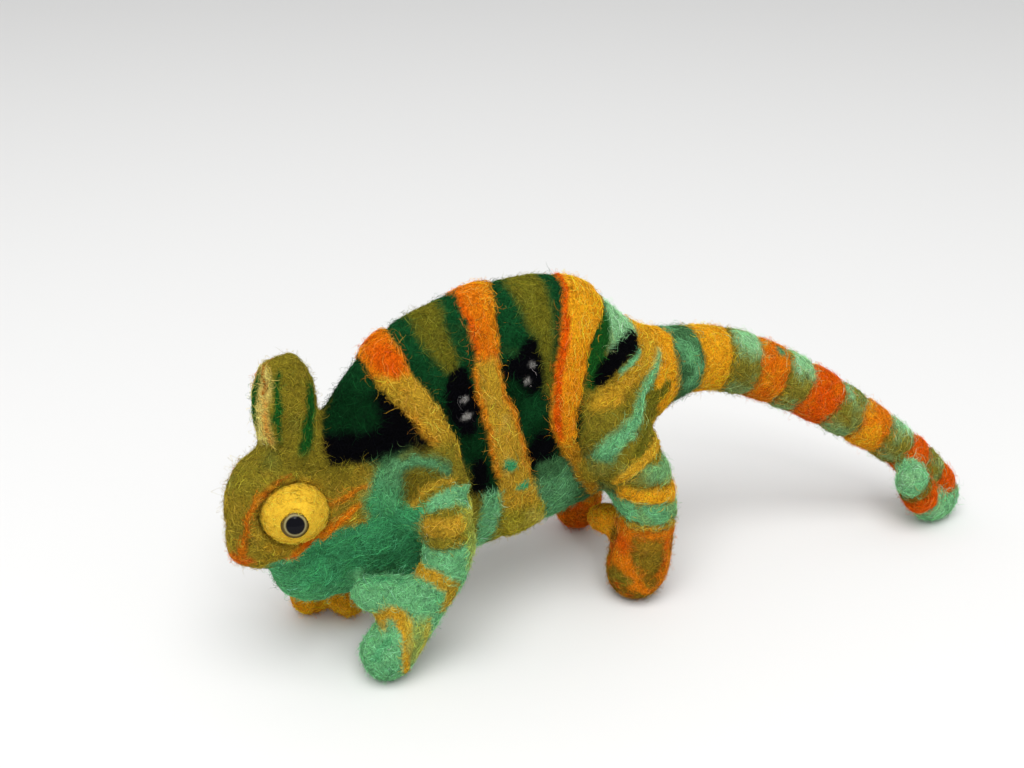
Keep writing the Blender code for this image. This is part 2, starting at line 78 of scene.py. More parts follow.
def to_frame(points):
    """Millimetres on the body to metres in the shared frame: add the origin, multiply by a millimetre."""
    return (np.asarray(points) + ORIGIN) * MM


print("body origin in the shared frame, mm:", ORIGIN.round(2))

# %% [markdown]
# ## The wools
#
# Dyed wool is sold as combed tops in plain colours, and a maker owns a box of them. Each colour here is the
# share of red, green and blue light that the dyed fibre sends back. Keeping them in one table means that skin
# and fibres always agree, and that a change of dye is a change of one line.

# %% Dyes
WOOL = {
    "olive": (0.265, 0.212, 0.018),
    "drab": (0.175, 0.160, 0.013),
    "moss": (0.12, 0.16, 0.03),
    "bark": (0.11, 0.080, 0.005),
    "umber": (0.26, 0.135, 0.009),
    "straw": (0.70, 0.56, 0.14),
    "lime": (0.38, 0.43, 0.065),
    "pear": (0.39, 0.35, 0.026),
    "corn": (0.60, 0.47, 0.055),
    "mustard": (0.56, 0.335, 0.026),
    "gold": (0.66, 0.36, 0.022),
    "amber": (0.92, 0.405, 0.014),
    "orange": (0.82, 0.215, 0.006),
    "red": (0.80, 0.112, 0.003),
    "rust": (0.36, 0.10, 0.006),
    "yellow": (0.70, 0.43, 0.030),
    "aqua": (0.300, 0.630, 0.300),
    "mint": (0.180, 0.510, 0.222),
    "sage": (0.060, 0.170, 0.062),
    "teal": (0.072, 0.395, 0.155),
    # painted shade, used only on the throat next to the foreleg
    "teal_in_shade": (0.022, 0.150, 0.055),
    "fern": (0.012, 0.100, 0.014),
    "pine": (0.008, 0.082, 0.022),
    "forest": (0.003, 0.032, 0.008),
    "black": (0.0015, 0.0015, 0.0025),
    "white": (0.26, 0.25, 0.23),
}
print("wools:", ", ".join(WOOL))

# %% [markdown]
# ## Chance, but the same each time
#
# Felt is never even, so nearly every step below wants a soft random value in space. A small cube of random
# numbers, read with smooth steps between its cells, gives one. The seed is fixed, so the lesson always makes
# the same figurine.

# %% Soft noise
CHANCE = np.random.default_rng(11)
CUBE = 32
NOISE = CHANCE.random((CUBE, CUBE, CUBE))


def eased(value):
    """A ramp from 0 to 1 with soft ends: t times t times (3 minus 2 t), t held between 0 and 1."""
    t = np.clip(value, 0, 1)
    return t * t * (3 - 2 * t)


def mottle(points, size, shift=0.0):
    """Noise from -1 to 1 in blobs about size across: the cube's eight nearest cells, mixed by eased steps."""
    place = np.asarray(points, float) / size + shift
    cell = np.floor(place).astype(int)
    part = eased(place - cell)
    total = np.zeros(len(place))
    for corner in np.ndindex(2, 2, 2):
        weight = np.prod(np.where(corner, part, 1 - part), axis=1)
        i, j, k = ((cell + corner) % CUBE).T
        total += weight * NOISE[i, j, k]
    return total * 2 - 1


print("noise at the origin:", mottle(np.zeros((1, 3)), 2.0).round(3))

# %% [markdown]
# ## Curves and distances
#
# A strand of wool is a curve with a width. Four neighbouring points steer each bit of a Catmull-Rom curve,
# which passes through all of them, so a strand is written as the few places it passes. Every marking then
# needs just one question answered for the whole skin at once: how far is each point from that curve?

# %% Curve helpers
CURVE_STEPS = 12


def through(rows):
    """Points along a smooth curve through rows: half of (2b + (c-a)t + (2a-5b+4c-d)t^2 + (3b-a-3c+d)t^3)."""
    rows = np.asarray(rows, float)
    held = np.vstack([rows[:1], rows, rows[-1:]])
    a, b, c, d = held[:-3], held[1:-2], held[2:-1], held[3:]
    t = np.linspace(0, 1, CURVE_STEPS, endpoint=False)[:, None, None]
    bits = 0.5 * (2 * b + (c - a) * t + (2 * a - 5 * b + 4 * c - d) * t**2 + (3 * b - a - 3 * c + d) * t**3)
    return np.vstack([bits.transpose(1, 0, 2).reshape(-1, rows.shape[1]), rows[-1:]])


def nearest(points, samples):
    """Index of each point's nearest sample, and its distance: |p|^2 + |q|^2 - 2 p.q, least in each row."""
    gaps = (points**2).sum(1)[:, None] + (samples**2).sum(1) - 2 * points @ samples.T
    index = gaps.argmin(1)
    least = gaps[np.arange(len(points)), index]
    return index, np.sqrt(np.maximum(least, 0))


def unit(vectors):
    """Vectors cut to length one: each divided by its own length."""
    return vectors / np.maximum(np.linalg.norm(vectors, axis=-1, keepdims=True), 1e-9)


# %% [markdown]
# ## Limbs as lines
#
# The tail and the legs are rolls of wool: a centre line with a radius that changes along it. The solids were
# made from these lines, and the bands of colour run round them, so the same lines say where each band belongs
# and which way its fibres are wound.

# %% Centre lines
LIMBS = {
    # x, y, z, radius
    "tail": (
        (34, 0.0, 50.5, 9.6), (46, 0.0, 50.4, 9.0), (58, 0.0, 49.9, 8.5), (68, -1.6, 47.9, 8.2),
        (80, -5.0, 42.9, 7.7), (91, -9.6, 36.4, 7.1), (101, -14.8, 29.4, 6.5), (110.2, -19.4, 22.4, 5.8),
        (117.9, -22.8, 15.5, 5.3), (123.2, -25.0, 9.8, 5.0), (125.1, -26.2, 6.0, 4.8),
        (123.0, -27.0, 4.2, 4.7), (118.7, -28.0, 4.7, 4.5), (113.8, -28.8, 9.1, 4.6),
        (110.4, -29.0, 14.2, 4.8),
    ),
    "left_foreleg": (
        (-22, -9.0, 44.0, 9.5), (-18.8, -16.6, 35.0, 6.4), (-20.2, -19.4, 26.0, 5.8),
        (-25.1, -18.6, 17.5, 5.5), (-29.7, -18.0, 11.8, 6.2), (-34.5, -17.8, 6.2, 6.7),
    ),
    "left_forethumb": ((-26.3, -18.0, 17.6, 5.2), (-31.4, -15.4, 18.8, 4.8), (-36.3, -12.8, 19.4, 4.4)),
    "right_foreleg": (
        (-22, 9.0, 44.0, 9.5), (-21, 16.5, 35.0, 6.0), (-20.5, 19.0, 26.0, 5.6),
        (-24, 17.6, 16.5, 5.4), (-31, 15.4, 8.6, 5.2), (-40.0, 14.2, 4.6, 5.2),
    ),
    "right_forethumb": ((-25, 16.5, 15.0, 5.0), (-28.0, 11.4, 10.0, 4.8), (-32.4, 8.2, 4.2, 4.7)),
    "left_hindleg": (
        (24, -7.0, 46.0, 12.0), (29.2, -12.5, 37.0, 9.7), (33.4, -17.2, 28.0, 7.7),
        (34.2, -17.6, 18.0, 7.3), (32.6, -17.6, 9.4, 7.9), (31.6, -17.9, 6.9, 7.8),
    ),
    "left_hindthumb": ((33.6, -14.8, 16.4, 4.8), (31.4, -9.6, 16.2, 4.5), (29.6, -5.6, 15.5, 4.1)),
    "right_hindleg": (
        (24, 7.0, 46.0, 12.0), (30.0, 12.5, 37.0, 9.4), (36.0, 17.6, 28.0, 7.2),
        (39.2, 18.0, 18.0, 6.5), (37.4, 17.0, 8.6, 6.6), (36.6, 16.6, 5.6, 6.4),
    ),
    "right_hindthumb": ((39.6, 17.0, 14.0, 4.8), (38.2, 14.4, 11.4, 4.2), (37.0, 12.6, 9.4, 3.8)),
}
TAIL_LEAD = 12.0  # length of the tail's line that lies hidden in the rump


def along(points, rows):
    """Where points lie on a limb: the length along its line to the nearest place on it, the gap outside its
    roll (distance less radius), the line's heading there, and the angle round it: 0 outward on the near
    side, 90 on top."""
    line = through(rows)
    centres, radius = line[:, :3], line[:, 3]
    heading = unit(np.gradient(centres, axis=0))
    length = np.concatenate([[0], np.cumsum(np.linalg.norm(np.diff(centres, axis=0), axis=1))])
    index, gap = nearest(points, centres)
    ahead, out = heading[index], points - centres[index]
    near_side = unit(np.cross(np.cross(ahead, [0.0, -1.0, 0.0]), ahead))
    above = np.cross(near_side, ahead)
    angle = np.degrees(np.arctan2((out * above).sum(1), (out * near_side).sum(1)))
    return length[index] + (out * ahead).sum(1), gap - radius[index], ahead, angle


for limb in ("tail", "left_foreleg", "left_hindleg"):
    hops = np.diff(through(LIMBS[limb])[:, :3], axis=0)
    print(limb, "line length, mm:", round(float(np.linalg.norm(hops, axis=1).sum()), 1))

# %% [markdown]
# ## One matted skin
#
# On the figurine no seam shows between body, legs and tail, because the needle matted them into one. Here the
# solids are merged copies, swollen by a fraction of a millimetre so that the cuts between them close, and
# laid on a fine voxel grid that turns them into one closed surface. A few rounds of smoothing do what the
# needle does to creases. The skin is then drawn in by the depth of the fibres that will lie on it.

# %% Melting solids into one skin
FLESH = [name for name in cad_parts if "eye" not in name]
SWELL = 0.30  # mm, closes the cuts
SKIN_VOXEL = 0.64
SKIN_SMOOTHING = 8


def read_mesh(mesh):
    """A mesh's corners on the body in mm, the way each faces, and its triangles, as arrays."""
    spots = np.empty(len(mesh.vertices) * 3, np.float32)
    outward = np.empty(len(mesh.vertices) * 3, np.float32)
    mesh.vertices.foreach_get("co", spots)
    mesh.vertex_normals.foreach_get("vector", outward)
    mesh.calc_loop_triangles()
    corners = np.empty(len(mesh.loop_triangles) * 3, np.int32)
    mesh.loop_triangles.foreach_get("vertices", corners)
    return to_body(spots.reshape(-1, 3)), outward.reshape(-1, 3).astype(float), corners.reshape(-1, 3)


def melted(name, nodes, voxel, smoothing, swell):
    """One closed mesh round several solids: merge, move each corner out by swell, voxel remesh, smooth."""
    shape = bmesh.new()
    for node in nodes:
        shape.from_mesh(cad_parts[node].data)
    bmesh.ops.remove_doubles(shape, verts=shape.verts, dist=1e-6)
    mesh = bpy.data.meshes.new(name)
    shape.to_mesh(mesh)
    shape.free()
    spots, outward, _ = read_mesh(mesh)
    mesh.vertices.foreach_set("co", to_frame(spots + outward * swell).astype(np.float32).ravel())
    thing = bpy.data.objects.new(name, mesh)
    bpy.context.scene.collection.objects.link(thing)
    melt = thing.modifiers.new("Melt", "REMESH")
    melt.mode, melt.voxel_size = "VOXEL", voxel * MM
    ease = thing.modifiers.new("Ease", "SMOOTH")
    ease.factor, ease.iterations = 0.5, smoothing
    finished = bpy.data.meshes.new_from_object(thing.evaluated_get(bpy.context.evaluated_depsgraph_get()))
    bpy.data.objects.remove(thing)
    return finished


melted_skin = melted("felt_skin", FLESH, SKIN_VOXEL, SKIN_SMOOTHING, SWELL)
spots, outward, triangles = read_mesh(melted_skin)
print("skin corners and triangles:", len(spots), len(triangles))
print("skin from", spots.min(0).round(1), "to", spots.max(0).round(1))

# %% [markdown]
# ## Laying wool
#
# Three things are known at every corner of the skin: its dye, how high the wool is heaped there, and which
# way the fibres lie. Laying a strand changes all three. Its edge wanders a little, because the needle drags
# fibres sideways, so the drawing's coordinates are shaken by soft noise first. The far side is the maker's
# second try at the same pattern: it follows the near side loosely.

# %% Dye, height and lie
count = len(spots)
x, y, z = spots.T
dye = np.zeros((count, 3))
lift = np.zeros(count)
WANDER, TREMBLE = 0.50, 0.24  # mm
FAR_DRIFT = 2.2

shaken = spots + WANDER * np.column_stack([mottle(spots, 2.6, k * 7.3) for k in range(3)])
shaken += TREMBLE * np.column_stack([mottle(spots, 0.9, 40 + k * 5.1) for k in range(3)])
far = eased((y + 1.5) / 6)
drift = np.column_stack([mottle(spots, 17, 61), mottle(spots, 15, 83)]) * FAR_DRIFT
flat = shaken[:, [0, 2]] + drift * far[:, None]
shaken_x, shaken_y, shaken_z = shaken.T
print("corners to be dyed:", count, "of them on the far side:", int((far > 0.5).sum()))

# %% [markdown]
# Five small helpers lay the wool. One adds dye and height; the others say where: in blots, in a band, in an
# ellipse, or inside an outline. Each gives a share from 0 to 1 at every corner, so they combine by
# multiplying.

# %% Laying wool
def lay(mask, wool, height=0.0):
    """Wool over what is there: dye moves to the wool's by mask, and lift grows by height times mask."""
    dye[:] += (np.array(WOOL[wool]) - dye) * np.clip(mask, 0, 1)[:, None]
    lift[:] += height * mask


def blots(size, seed, gain=2.0, shift=0.0):
    """Soft blots about size across: eased noise times gain plus shift, so a lower shift means fewer blots."""
    return eased(mottle(spots, size, seed) * gain + shift)


def between(value, low, high, soft=0.7):
    """1 between low and high, 0 outside, with a ramp soft wide across both borders."""
    return np.clip((value - low) / soft + 0.5, 0, 1) * np.clip((high - value) / soft + 0.5, 0, 1)


def patch(centre, radii, soft=0.9):
    """1 in an ellipse on the flank: (1 - distance from its centre in radii) times the smaller radius."""
    return np.clip((1 - np.linalg.norm((flat - centre) / radii, axis=1)) * min(radii) / soft + 0.5, 0, 1)


def inside(outline, soft=0.8):
    """1 inside a closed outline on the flank: odd crossings of a level line, softened by the edge's gap."""
    a = np.asarray(outline, float)
    b = np.roll(a, -1, axis=0)
    run = b - a
    inner = np.zeros(count, bool)
    gap = np.full(count, 1e9)
    for start, step, end in zip(a, run, b):
        share = np.clip(((flat - start) @ step) / (step @ step), 0, 1)
        gap = np.minimum(gap, np.linalg.norm(flat - start - share[:, None] * step, axis=1))
        crosses = (start[1] <= flat[:, 1]) != (end[1] <= flat[:, 1])
        rise = step[1] if step[1] else 1e-9
        inner ^= crosses & (flat[:, 0] < start[0] + (flat[:, 1] - start[1]) / rise * step[0])
    return np.clip(np.where(inner, gap, -gap) / soft + 0.5, 0, 1)


# %% [markdown]
# ## Which way the wool is wound
#
# The fibres' lie starts as the way the maker wound each part: round the trunk, round the legs and the tail,
# lengthwise under the throat, every way on the head. For the limbs that needs the place of each corner along
# and round its line.

# %% Along each limb
tail_run, _, tail_ahead, tail_angle = along(shaken, LIMBS["tail"])
tail_run = tail_run - TAIL_LEAD
limb_run, limb_gap, limb_ahead, limb_angle = {}, {}, {}, {}
for name, rows in LIMBS.items():
    if name != "tail":
        limb_run[name], limb_gap[name], limb_ahead[name], limb_angle[name] = along(shaken, rows)
print("tail reaches, mm:", round(float(tail_run.max()), 1))

# %% [markdown]
# Each corner of the skin belongs to one part of the body. Flat cuts part head, casque and tail from the
# trunk; a corner is a leg's when it lies within a small gap of that leg's roll.

# %% Parts of the body
NECK_AT, NECK_WAY = (-31.8, 31.0), (0.975, 0.222)  # in x and z: where the head's cut is, and the way it faces
ahead_of_neck = (x - NECK_AT[0]) * NECK_WAY[0] + (z - NECK_AT[1]) * NECK_WAY[1]
part = np.full(count, "trunk", dtype="<U16")
part[ahead_of_neck < 0] = "throat"
part[(ahead_of_neck < 0) & (z > 30.5 + (x + 47) * 0.29)] = "head"
part[(z > 54) & (x < -36)] = "casque"
part[x > 53.5] = "tail"
for name, pair in (
    ("left_foreleg", "left_forethumb"), ("right_foreleg", "right_forethumb"),
    ("left_hindleg", "left_hindthumb"), ("right_hindleg", "right_hindthumb"),
):
    off = np.minimum(limb_gap[name], limb_gap[pair])
    outer = np.abs(y) > 10.5
    part[(off < 1.7) & ((z < 24) | outer) & (x < 53.5) & (x > -46)] = name
for name in sorted(set(part)):
    print(name, int((part == name).sum()), "corners")

# %% [markdown]
# Wool wound round an axis lies across both the axis and the way the skin faces, which is their cross product.
# How far single fibres stray from that, how long they are and how tall they stand are kept beside it.

# %% The lie of the wool
axis = np.tile([1.0, 0.0, -0.10], (count, 1))
spread = np.full(count, 1.05)
reach = np.ones(count)
tall = np.ones(count)
for name in LIMBS:
    if "thumb" not in name and name != "tail":
        on = part == name
        axis[on], spread[on] = limb_ahead[name][on], 0.95
axis[part == "tail"], spread[part == "tail"] = tail_ahead[part == "tail"], 0.85
axis[part == "casque"], spread[part == "casque"] = (0.0, 1.0, 0.0), 1.2
axis[part == "throat"], spread[part == "throat"] = (0.0, 0.2, 1.0), 1.0
axis[part == "head"], spread[part == "head"] = (0.1, 0.3, 1.0), 1.5
lie = unit(np.cross(outward, axis))
on_top = np.zeros(count)
print("fibres stray by, radians:", spread.min(), "to", spread.max())

# %% [markdown]
# A strand laid on top changes everything under it at once: dye, height, the way the fibres lie, and how far
# they stray, as the maker pulls a strand straight before stabbing it fast.

# %% Laying a strand
def rope(rows, wool, height=0.5, where=1.0, soft=0.6):
    """A strand along a curve through (x, z, half width): round on top, so its height is the root of 1 -
    (gap/width)^2. Beside it the skin is pricked down by a bell curve, deeper for a higher strand."""
    curve = through(rows)
    index, gap = nearest(flat, curve[:, :2])
    width = curve[index, 2]
    mask = np.clip((width - gap) / soft + 0.5, 0, 1) * where
    crown = np.sqrt(np.clip(1 - (gap / (width + 0.35)) ** 2, 0, 1)) * where
    lay(mask, wool)
    lift[:] += height * crown
    lift[:] -= 0.35 * height * np.exp(-(((gap - width - 0.55) / 0.5) ** 2)) * where
    heading = np.gradient(curve[:, :2], axis=0)[index]
    level = unit(np.column_stack([heading[:, 0], np.zeros(count), heading[:, 1]]))
    turned = mask > 0.5
    lie[turned] = unit(level - (level * outward).sum(1)[:, None] * outward)[turned]
    spread[turned] = 0.50
    reach[turned] = np.where(width > 1.6, 0.8, 0.5)[turned]
    on_top[turned] = 1.0
    return mask


# %% [markdown]
# ## The flank's ground
#
# The saddle between the stripes is dark: forest green at the top, nearly black in the hollows lower down,
# with an olive patch on the ridge in each of the first two gaps.

# %% Ground colours
lay(np.ones(count), "forest")
lay(0.85 * between(flat[:, 1], 67, 95, 11), "pine")
lay(0.5 * blots(4.5, 31, 1.5), "pine")
lay(inside([(-46, 47), (-36, 48), (-30.5, 49.5), (-27, 51), (-21, 51), (-17, 46), (-13, 40.5), (-15.5, 45.5),
            (-21.5, 54.5), (-25, 60.5), (-28.8, 64.8), (-30.4, 63), (-29.6, 57.5), (-32, 55.8), (-46, 56.5)],
            1.8), "black")
lay(inside([(-18.8, 81), (-11.2, 81), (-11.7, 78), (-12.4, 74), (-11.4, 69), (-12.3, 66.3), (-14.2, 66.5),
            (-16.6, 70), (-18.6, 74.5)], 2.0), "drab")
lay(inside([(4.6, 83), (13.8, 83), (13.4, 75), (12.2, 69.5), (10.8, 62), (9.4, 56.5), (8.2, 58), (8.6, 64),
            (7.4, 70), (6.0, 75.5)], 2.2), "drab")
lay(between(flat[:, 0], -20, 16, 3) * between(flat[:, 1], 66, 95, 6) * blots(2.2, 48, 2, -0.7) * 0.15, "moss")
print("mean dye after the ground:", dye.mean(0).round(3))

# %% [markdown]
# Black wool was dabbed on in pads that stand a little proud, and each of the upper pads carries two tiny
# tufts of white.

# %% Black pads
rope([(-11.7, 64.6, 2.4), (-12.0, 61, 3.5), (-11.4, 57, 3.5), (-10.9, 53.8, 2.2)], "black", 0.35)
rope([(-9.4, 44.5, 1.7), (-8.8, 41, 2.2), (-7.8, 37, 1.9)], "black", 0.2)
lay(inside([(-2.0, 66.3), (2.5, 67.0), (5.6, 70.4), (7.5, 69.2), (8.4, 63.5), (7.9, 59.8), (4.4, 57.2),
            (1.2, 61.4), (-1.4, 63.4)]),
    "black", 0.35)
lay(patch((6.6, 44.4), (3.6, 4.6), 0.8), "black", 0.25)
rope([(-21.0, 53.0, 1.2), (-18.4, 49.6, 0.9), (-16.4, 46.2, 0.7), (-15.0, 43.2, 0.5)], "black", -0.2)
TUFTS = (((-11.3, 60.0), 0.75), ((-11.1, 56.1), 0.85), ((5.4, 64.8), 0.75), ((3.7, 61.5), 0.80))
for centre, radius in TUFTS:
    dot = patch(centre, (radius, radius), 0.5)
    lay(dot, "white", 0.15)
    reach[patch(centre, (radius + 0.7, radius + 0.7), 0.1) > 0.5] = 0.22
print("nearly black:", round(float((dye.max(1) < 0.01).mean()) * 100, 1), "% of the skin")

# %% [markdown]
# ## Belly, rump and hip
#
# Below the saddle the body pales to mint and teal. Behind the last stripe mint, mustard and olive strands are
# drawn diagonally down from the root of the tail over the haunch.

# %% Pale underside
under = eased((38.5 - shaken_z) / 3.0)
lay(under * between(flat[:, 0], -60, -21, 2), "teal")
lay(under * between(flat[:, 0], -21, -8.2, 2), "olive")
lay(under * between(flat[:, 0], -19, -8.2, 2) * blots(3, 25) * 0.6, "lime")
lay(under * between(flat[:, 0], -8.2, -2.5, 1.2), "mint")
lay(under * between(flat[:, 0], -2.5, 8.0, 1.5), "olive")
lay(under * between(flat[:, 0], -1.5, 8.0, 2.0) * between(shaken_z, 17, 31, 3) * 0.75, "pear")
lay(inside([(5.5, 41.5), (13, 41.2), (16, 37), (19, 31), (20, 10), (6, 10), (6.5, 30)], 1.0), "sage")
lay(inside([(6, 36), (14, 36), (17, 30), (18, 10), (7, 10)], 4.0) * 0.5, "mint")
lay(inside([(19, 32), (30, 32), (46, 48), (56, 44), (50, 30), (30, 10), (19, 10)], 2.0) * 0.8, "sage")
print("below the saddle:", round(float((under > 0.5).mean()) * 100), "% of the skin")

# %% [markdown]
# The rump is olive under diagonal strands. From the top down they are a dark green one, a pale and an amber
# patch, a gold one, a black one that stands proud, and a long mint one that sweeps forward over the haunch.

# %% Rump and hip
rump = inside([(24, 84), (21, 66), (18, 56), (16, 44), (18, 36), (23, 30), (36, 26), (60, 34), (62, 62),
               (40, 84)], 1.0)
lay(rump, "olive")
lay(rump * blots(3.5, 58, 2, -0.4) * 0.5, "drab")
rope([(31.0, 73, 2.2), (27.6, 69.4, 2.6), (24.0, 65.6, 2.9), (22.0, 61.2, 2.6), (21.0, 57.4, 1.8)], "fern",
     0.1)
lay(inside([(30.5, 73), (42, 66.5), (39.2, 63.0), (34, 64), (29, 62.8), (26.2, 61.2), (26.6, 63.4),
            (28.6, 67.0)], 1.4), "aqua", 0.2)
lay(inside([(40, 68), (55, 64), (50.8, 57.5), (49.2, 52.5), (48, 45), (45, 40), (40.2, 46.5), (40.6, 53),
            (39.6, 57), (38.0, 60.0)], 1.2), "amber", 0.3)
rope([(41, 59.0, 3.2), (37.9, 57.2, 3.0), (32.9, 55.6, 2.6), (26.5, 54.3, 2.0), (20, 53, 1.3)], "gold", 0.25,
     0.85, 2.2)
rope([(29.4, 57.4, 0.5), (33.2, 58.4, 0.8), (37.0, 59.8, 0.7)], "mint", 0.1)
rope([(22.6, 57.8, 2.0), (26, 59.7, 2.5), (30.5, 61.5, 2.6), (35.2, 62.4, 2.4)], "black", 0.7)
rope([(43.5, 57.4, 0.9), (39.3, 53.4, 1.3), (33.8, 49.2, 1.7), (29.5, 46.9, 2.0), (25, 45, 2.2),
      (21.6, 42.3, 2.3), (20.4, 38.3, 2.0), (20.6, 35.4, 1.4)], "mint", 0.4, soft=1.6)
lay(rump * eased((43 - flat[:, 1]) / 4) * between(flat[:, 0], 17, 24, 2) * 0.5, "sage")
rope([(44, 50, 1.6), (38, 46.6, 1.8), (32.5, 43.6, 1.6), (28, 40.6, 1.0)], "drab", 0.3)
print("heaped up to, mm:", round(float(lift.max()), 2))

# %% [markdown]
# ## The three stripes
#
# Each stripe is a thick strand of warm wool that stands proud of the saddle, red or orange on the ridge and
# fading to mustard lower down, as the maker ran one colour into the next.

# %% First stripe
first = rope(
    [(-26.9, 74.0, 3.0), (-26.5, 71.2, 3.8), (-26.2, 68.2, 3.8), (-24.4, 64.4, 3.4), (-21.1, 60, 3.4),
     (-18.1, 54.2, 3.05), (-15.5, 48.8, 2.3), (-14.2, 44.9, 1.3), (-13.0, 41.2, 0.7)], "mustard", 0.95)
lay(first * eased((shaken_z - 62) / 6) * 0.9, "gold")
lay(first * eased((shaken_z - 65.8) / 1.8), "orange", 0.2)
lay(first * patch((-25.6, 69.6), (3.0, 2.8), 1.6) * 0.85, "red", 0.15)
lay(first * between(flat[:, 0] + flat[:, 1] * 0.62, 4, 13.6, 1.6) * eased((62 - shaken_z) / 5) * 0.35,
    "orange")

# %% [markdown]
# The second stripe runs right down the flank on to the belly. Two thin orange strands edge it, and two teal
# dots sit on its lower half; the coat is kept short there, or it would hide them.

# %% Second stripe
second = rope(
    [(-1.8, 83, 3.8), (-3.8, 77.5, 3.7), (-4.2, 71.8, 3.15), (-4.6, 67, 2.95), (-5.1, 64.5, 3.15),
     (-4.6, 59, 3.6), (-3.1, 53, 3.8), (-1.8, 46, 4.1), (-0.5, 40, 4.05), (1.2, 34, 4.4), (2, 31, 4.6),
     (3.7, 27, 5.2), (5.5, 22, 5.0)], "mustard", 0.9)
lay(second * eased((shaken_z - 66) / 3), "orange")
lay(second * between(flat[:, 0], -14, -6.4, 1.4) * eased((shaken_z - 67) / 4), "red")
lay(second * between(flat[:, 0], -2.4, 6, 2) * eased((shaken_z - 68) / 4) * 0.35, "amber")
for way in (-1, 1):
    rope([(-5.1 + 2.9 * way, 66, 0.7), (-4.6 + 3.2 * way, 59, 0.7), (-3.1 + 3.4 * way, 53, 0.6),
          (-1.8 + 3.7 * way, 46, 0.5), (-0.5 + 3.7 * way, 40, 0.4)], "orange", 0.1, second * 0.8)
lay(second * eased((33 - shaken_z) / 5) * 0.85, "pear")
lay(second * blots(2.6, 87, 2, -0.6) * 0.3 * eased((64 - shaken_z) / 4), "straw")
for centre, radius in (((-1.8, 43.0), 1.5), ((1.6, 36.8), 1.4)):
    lay(patch(centre, (radius, radius), 0.5), "teal", 0.15)
    reach[patch(centre, (radius + 0.5, radius + 0.5), 0.1) > 0.5] = 0.45

# %% [markdown]
# The third stripe is the widest on the ridge and thins to a line of dull brown over the haunch.

# %% Third stripe
third = rope(
    [(26.5, 81, 6.8), (24.0, 75.8, 6.3), (19.2, 70, 4.7), (16.2, 64, 3.95), (13.9, 57.4, 3.9),
     (12.6, 52, 3.5), (12.4, 48, 2.8), (13.2, 44.5, 2.1), (14.5, 41.5, 1.7), (16.8, 37, 1.4),
     (19.6, 32, 1.25), (22.5, 28, 1.1)], "amber", 0.95)
lay(third * between(flat[:, 1], 44, 66, 6) * 0.45, "orange")
rope([(20.0, 81, 1.3), (16.6, 74.5, 1.2), (14.4, 68, 1.1), (12.1, 61.5, 1.0), (10.7, 55, 1.0),
      (10.6, 50, 0.9), (11.4, 46, 0.6)],
     "red", 0.0, third)
lay(third * eased((47 - shaken_z) / 6) * 0.75, "umber")
print("stripes cover", round(float((first + second + third).mean()) * 100, 1), "% of the skin")

# %% [markdown]
# ## Head, casque and throat
#
# The head is olive, a mix of mustard and dark green fibres, over a teal throat. Thin red and orange strands
# mark the nose ridge, the mouth and the cheek. The tall casque has a green middle between straw-coloured
# bands, and green stripes up its sides.

# %% Throat and neck
throat = (1 - eased((ahead_of_neck - 2.0) / 7)) * eased((50 - shaken_z) / 3)
lay(throat, "teal")
# Painted shade: the throat is darkened towards the back, where the foreleg shades it.
lay(throat * eased((shaken_x + 46) / 14) * 0.14, "teal_in_shade")
lay(throat * eased((-47 - shaken_x) / 8) * 0.40, "mint")
lay(throat * eased((23 - shaken_z) / 7) * 0.40, "mint")
lay(throat * blots(3.0, 12, 2, -0.4) * 0.35, "sage")
print("throat:", int((throat > 0.5).sum()), "corners")

# %% [markdown]
# The face's border runs from the chin along the jaw and up behind the cheek. Inside it the olive is broken up
# by moss, bark and mustard, and warms towards the jaw.

# %% Head
face = inside([(-70, 20), (-57.6, 20), (-56.4, 28.8), (-51.2, 30.3), (-47.5, 32.8), (-44.4, 35.0),
               (-40.1, 36.0), (-34.8, 34.6), (-34.0, 39.5), (-32.8, 45), (-31.2, 48.9), (-35, 49.4),
               (-41.9, 50.2), (-42.2, 53.5), (-40.5, 58), (-37.5, 62), (-34, 84), (-75, 84)], 0.9)
lay(face, "olive")
lay(face * blots(6, 21, 1.2) * 0.45, "moss")
lay(face * patch((-42, 47), (6, 6), 5) * 0.35, "bark")
lay(face * blots(3.2, 55, 1.6, -0.4) * 0.35, "mustard")
lay(face * eased((50 - shaken_z) / 6) * 0.25, "mustard")
print("dyed as face:", int((face > 0.5).sum()), "corners")

# %% [markdown]
# Inside the border thin strands are laid on both sides at once: a factor that is 1 on the sides and 0 on the
# midline keeps them off the snout. The mouth is a patch of red and orange with a crease along its lower edge.

# %% Strands on the head
SIDE = eased((np.abs(y) - 2.5) / 2)
lay(patch((-61.9, 30.6), (2.4, 1.6), 1.2) * 0.8, "red")
canthal = [(-62.0, 31.5, 0.6), (-61.3, 35.7, 0.55), (-60.1, 41.8, 0.55), (-58.5, 45.3, 0.6),
           (-56.5, 47.6, 0.55), (-54.5, 48.8, 0.5), (-52.3, 49.5, 0.4), (-50.4, 49.9, 0.3)]
rope(canthal, "rust", 0.15, SIDE)
rope([(x0, z0, w0 * 0.6) for x0, z0, w0 in canthal[:5]], "orange", 0.05, SIDE)
rope([(x0 + 0.3, z0, w0 * 0.3) for x0, z0, w0 in canthal], "rust", 0.0, SIDE * 0.7)
rope([(-43.6, 35.6, 0.8), (-40.5, 36.9, 1.4), (-37.4, 36.8, 1.6), (-35.2, 36.4, 1.2)], "mustard", 0.1,
     SIDE * 0.75, 1.4)
rope([(-52.2, 30.6, 0.6), (-50.3, 31.7, 1.3), (-48.2, 33.3, 1.15), (-45.6, 35.3, 0.9)], "orange", 0.25, SIDE)
mouth = inside([(-52.8, 29.7), (-51.6, 32.2), (-49.2, 33.5), (-46.2, 33.8), (-47.4, 31.7), (-49.8, 30.0)],
               0.7)
lay(SIDE * mouth, "orange", 0.15)
lay(SIDE * mouth * (0.4 + 0.6 * blots(1.8, 55)), "red")
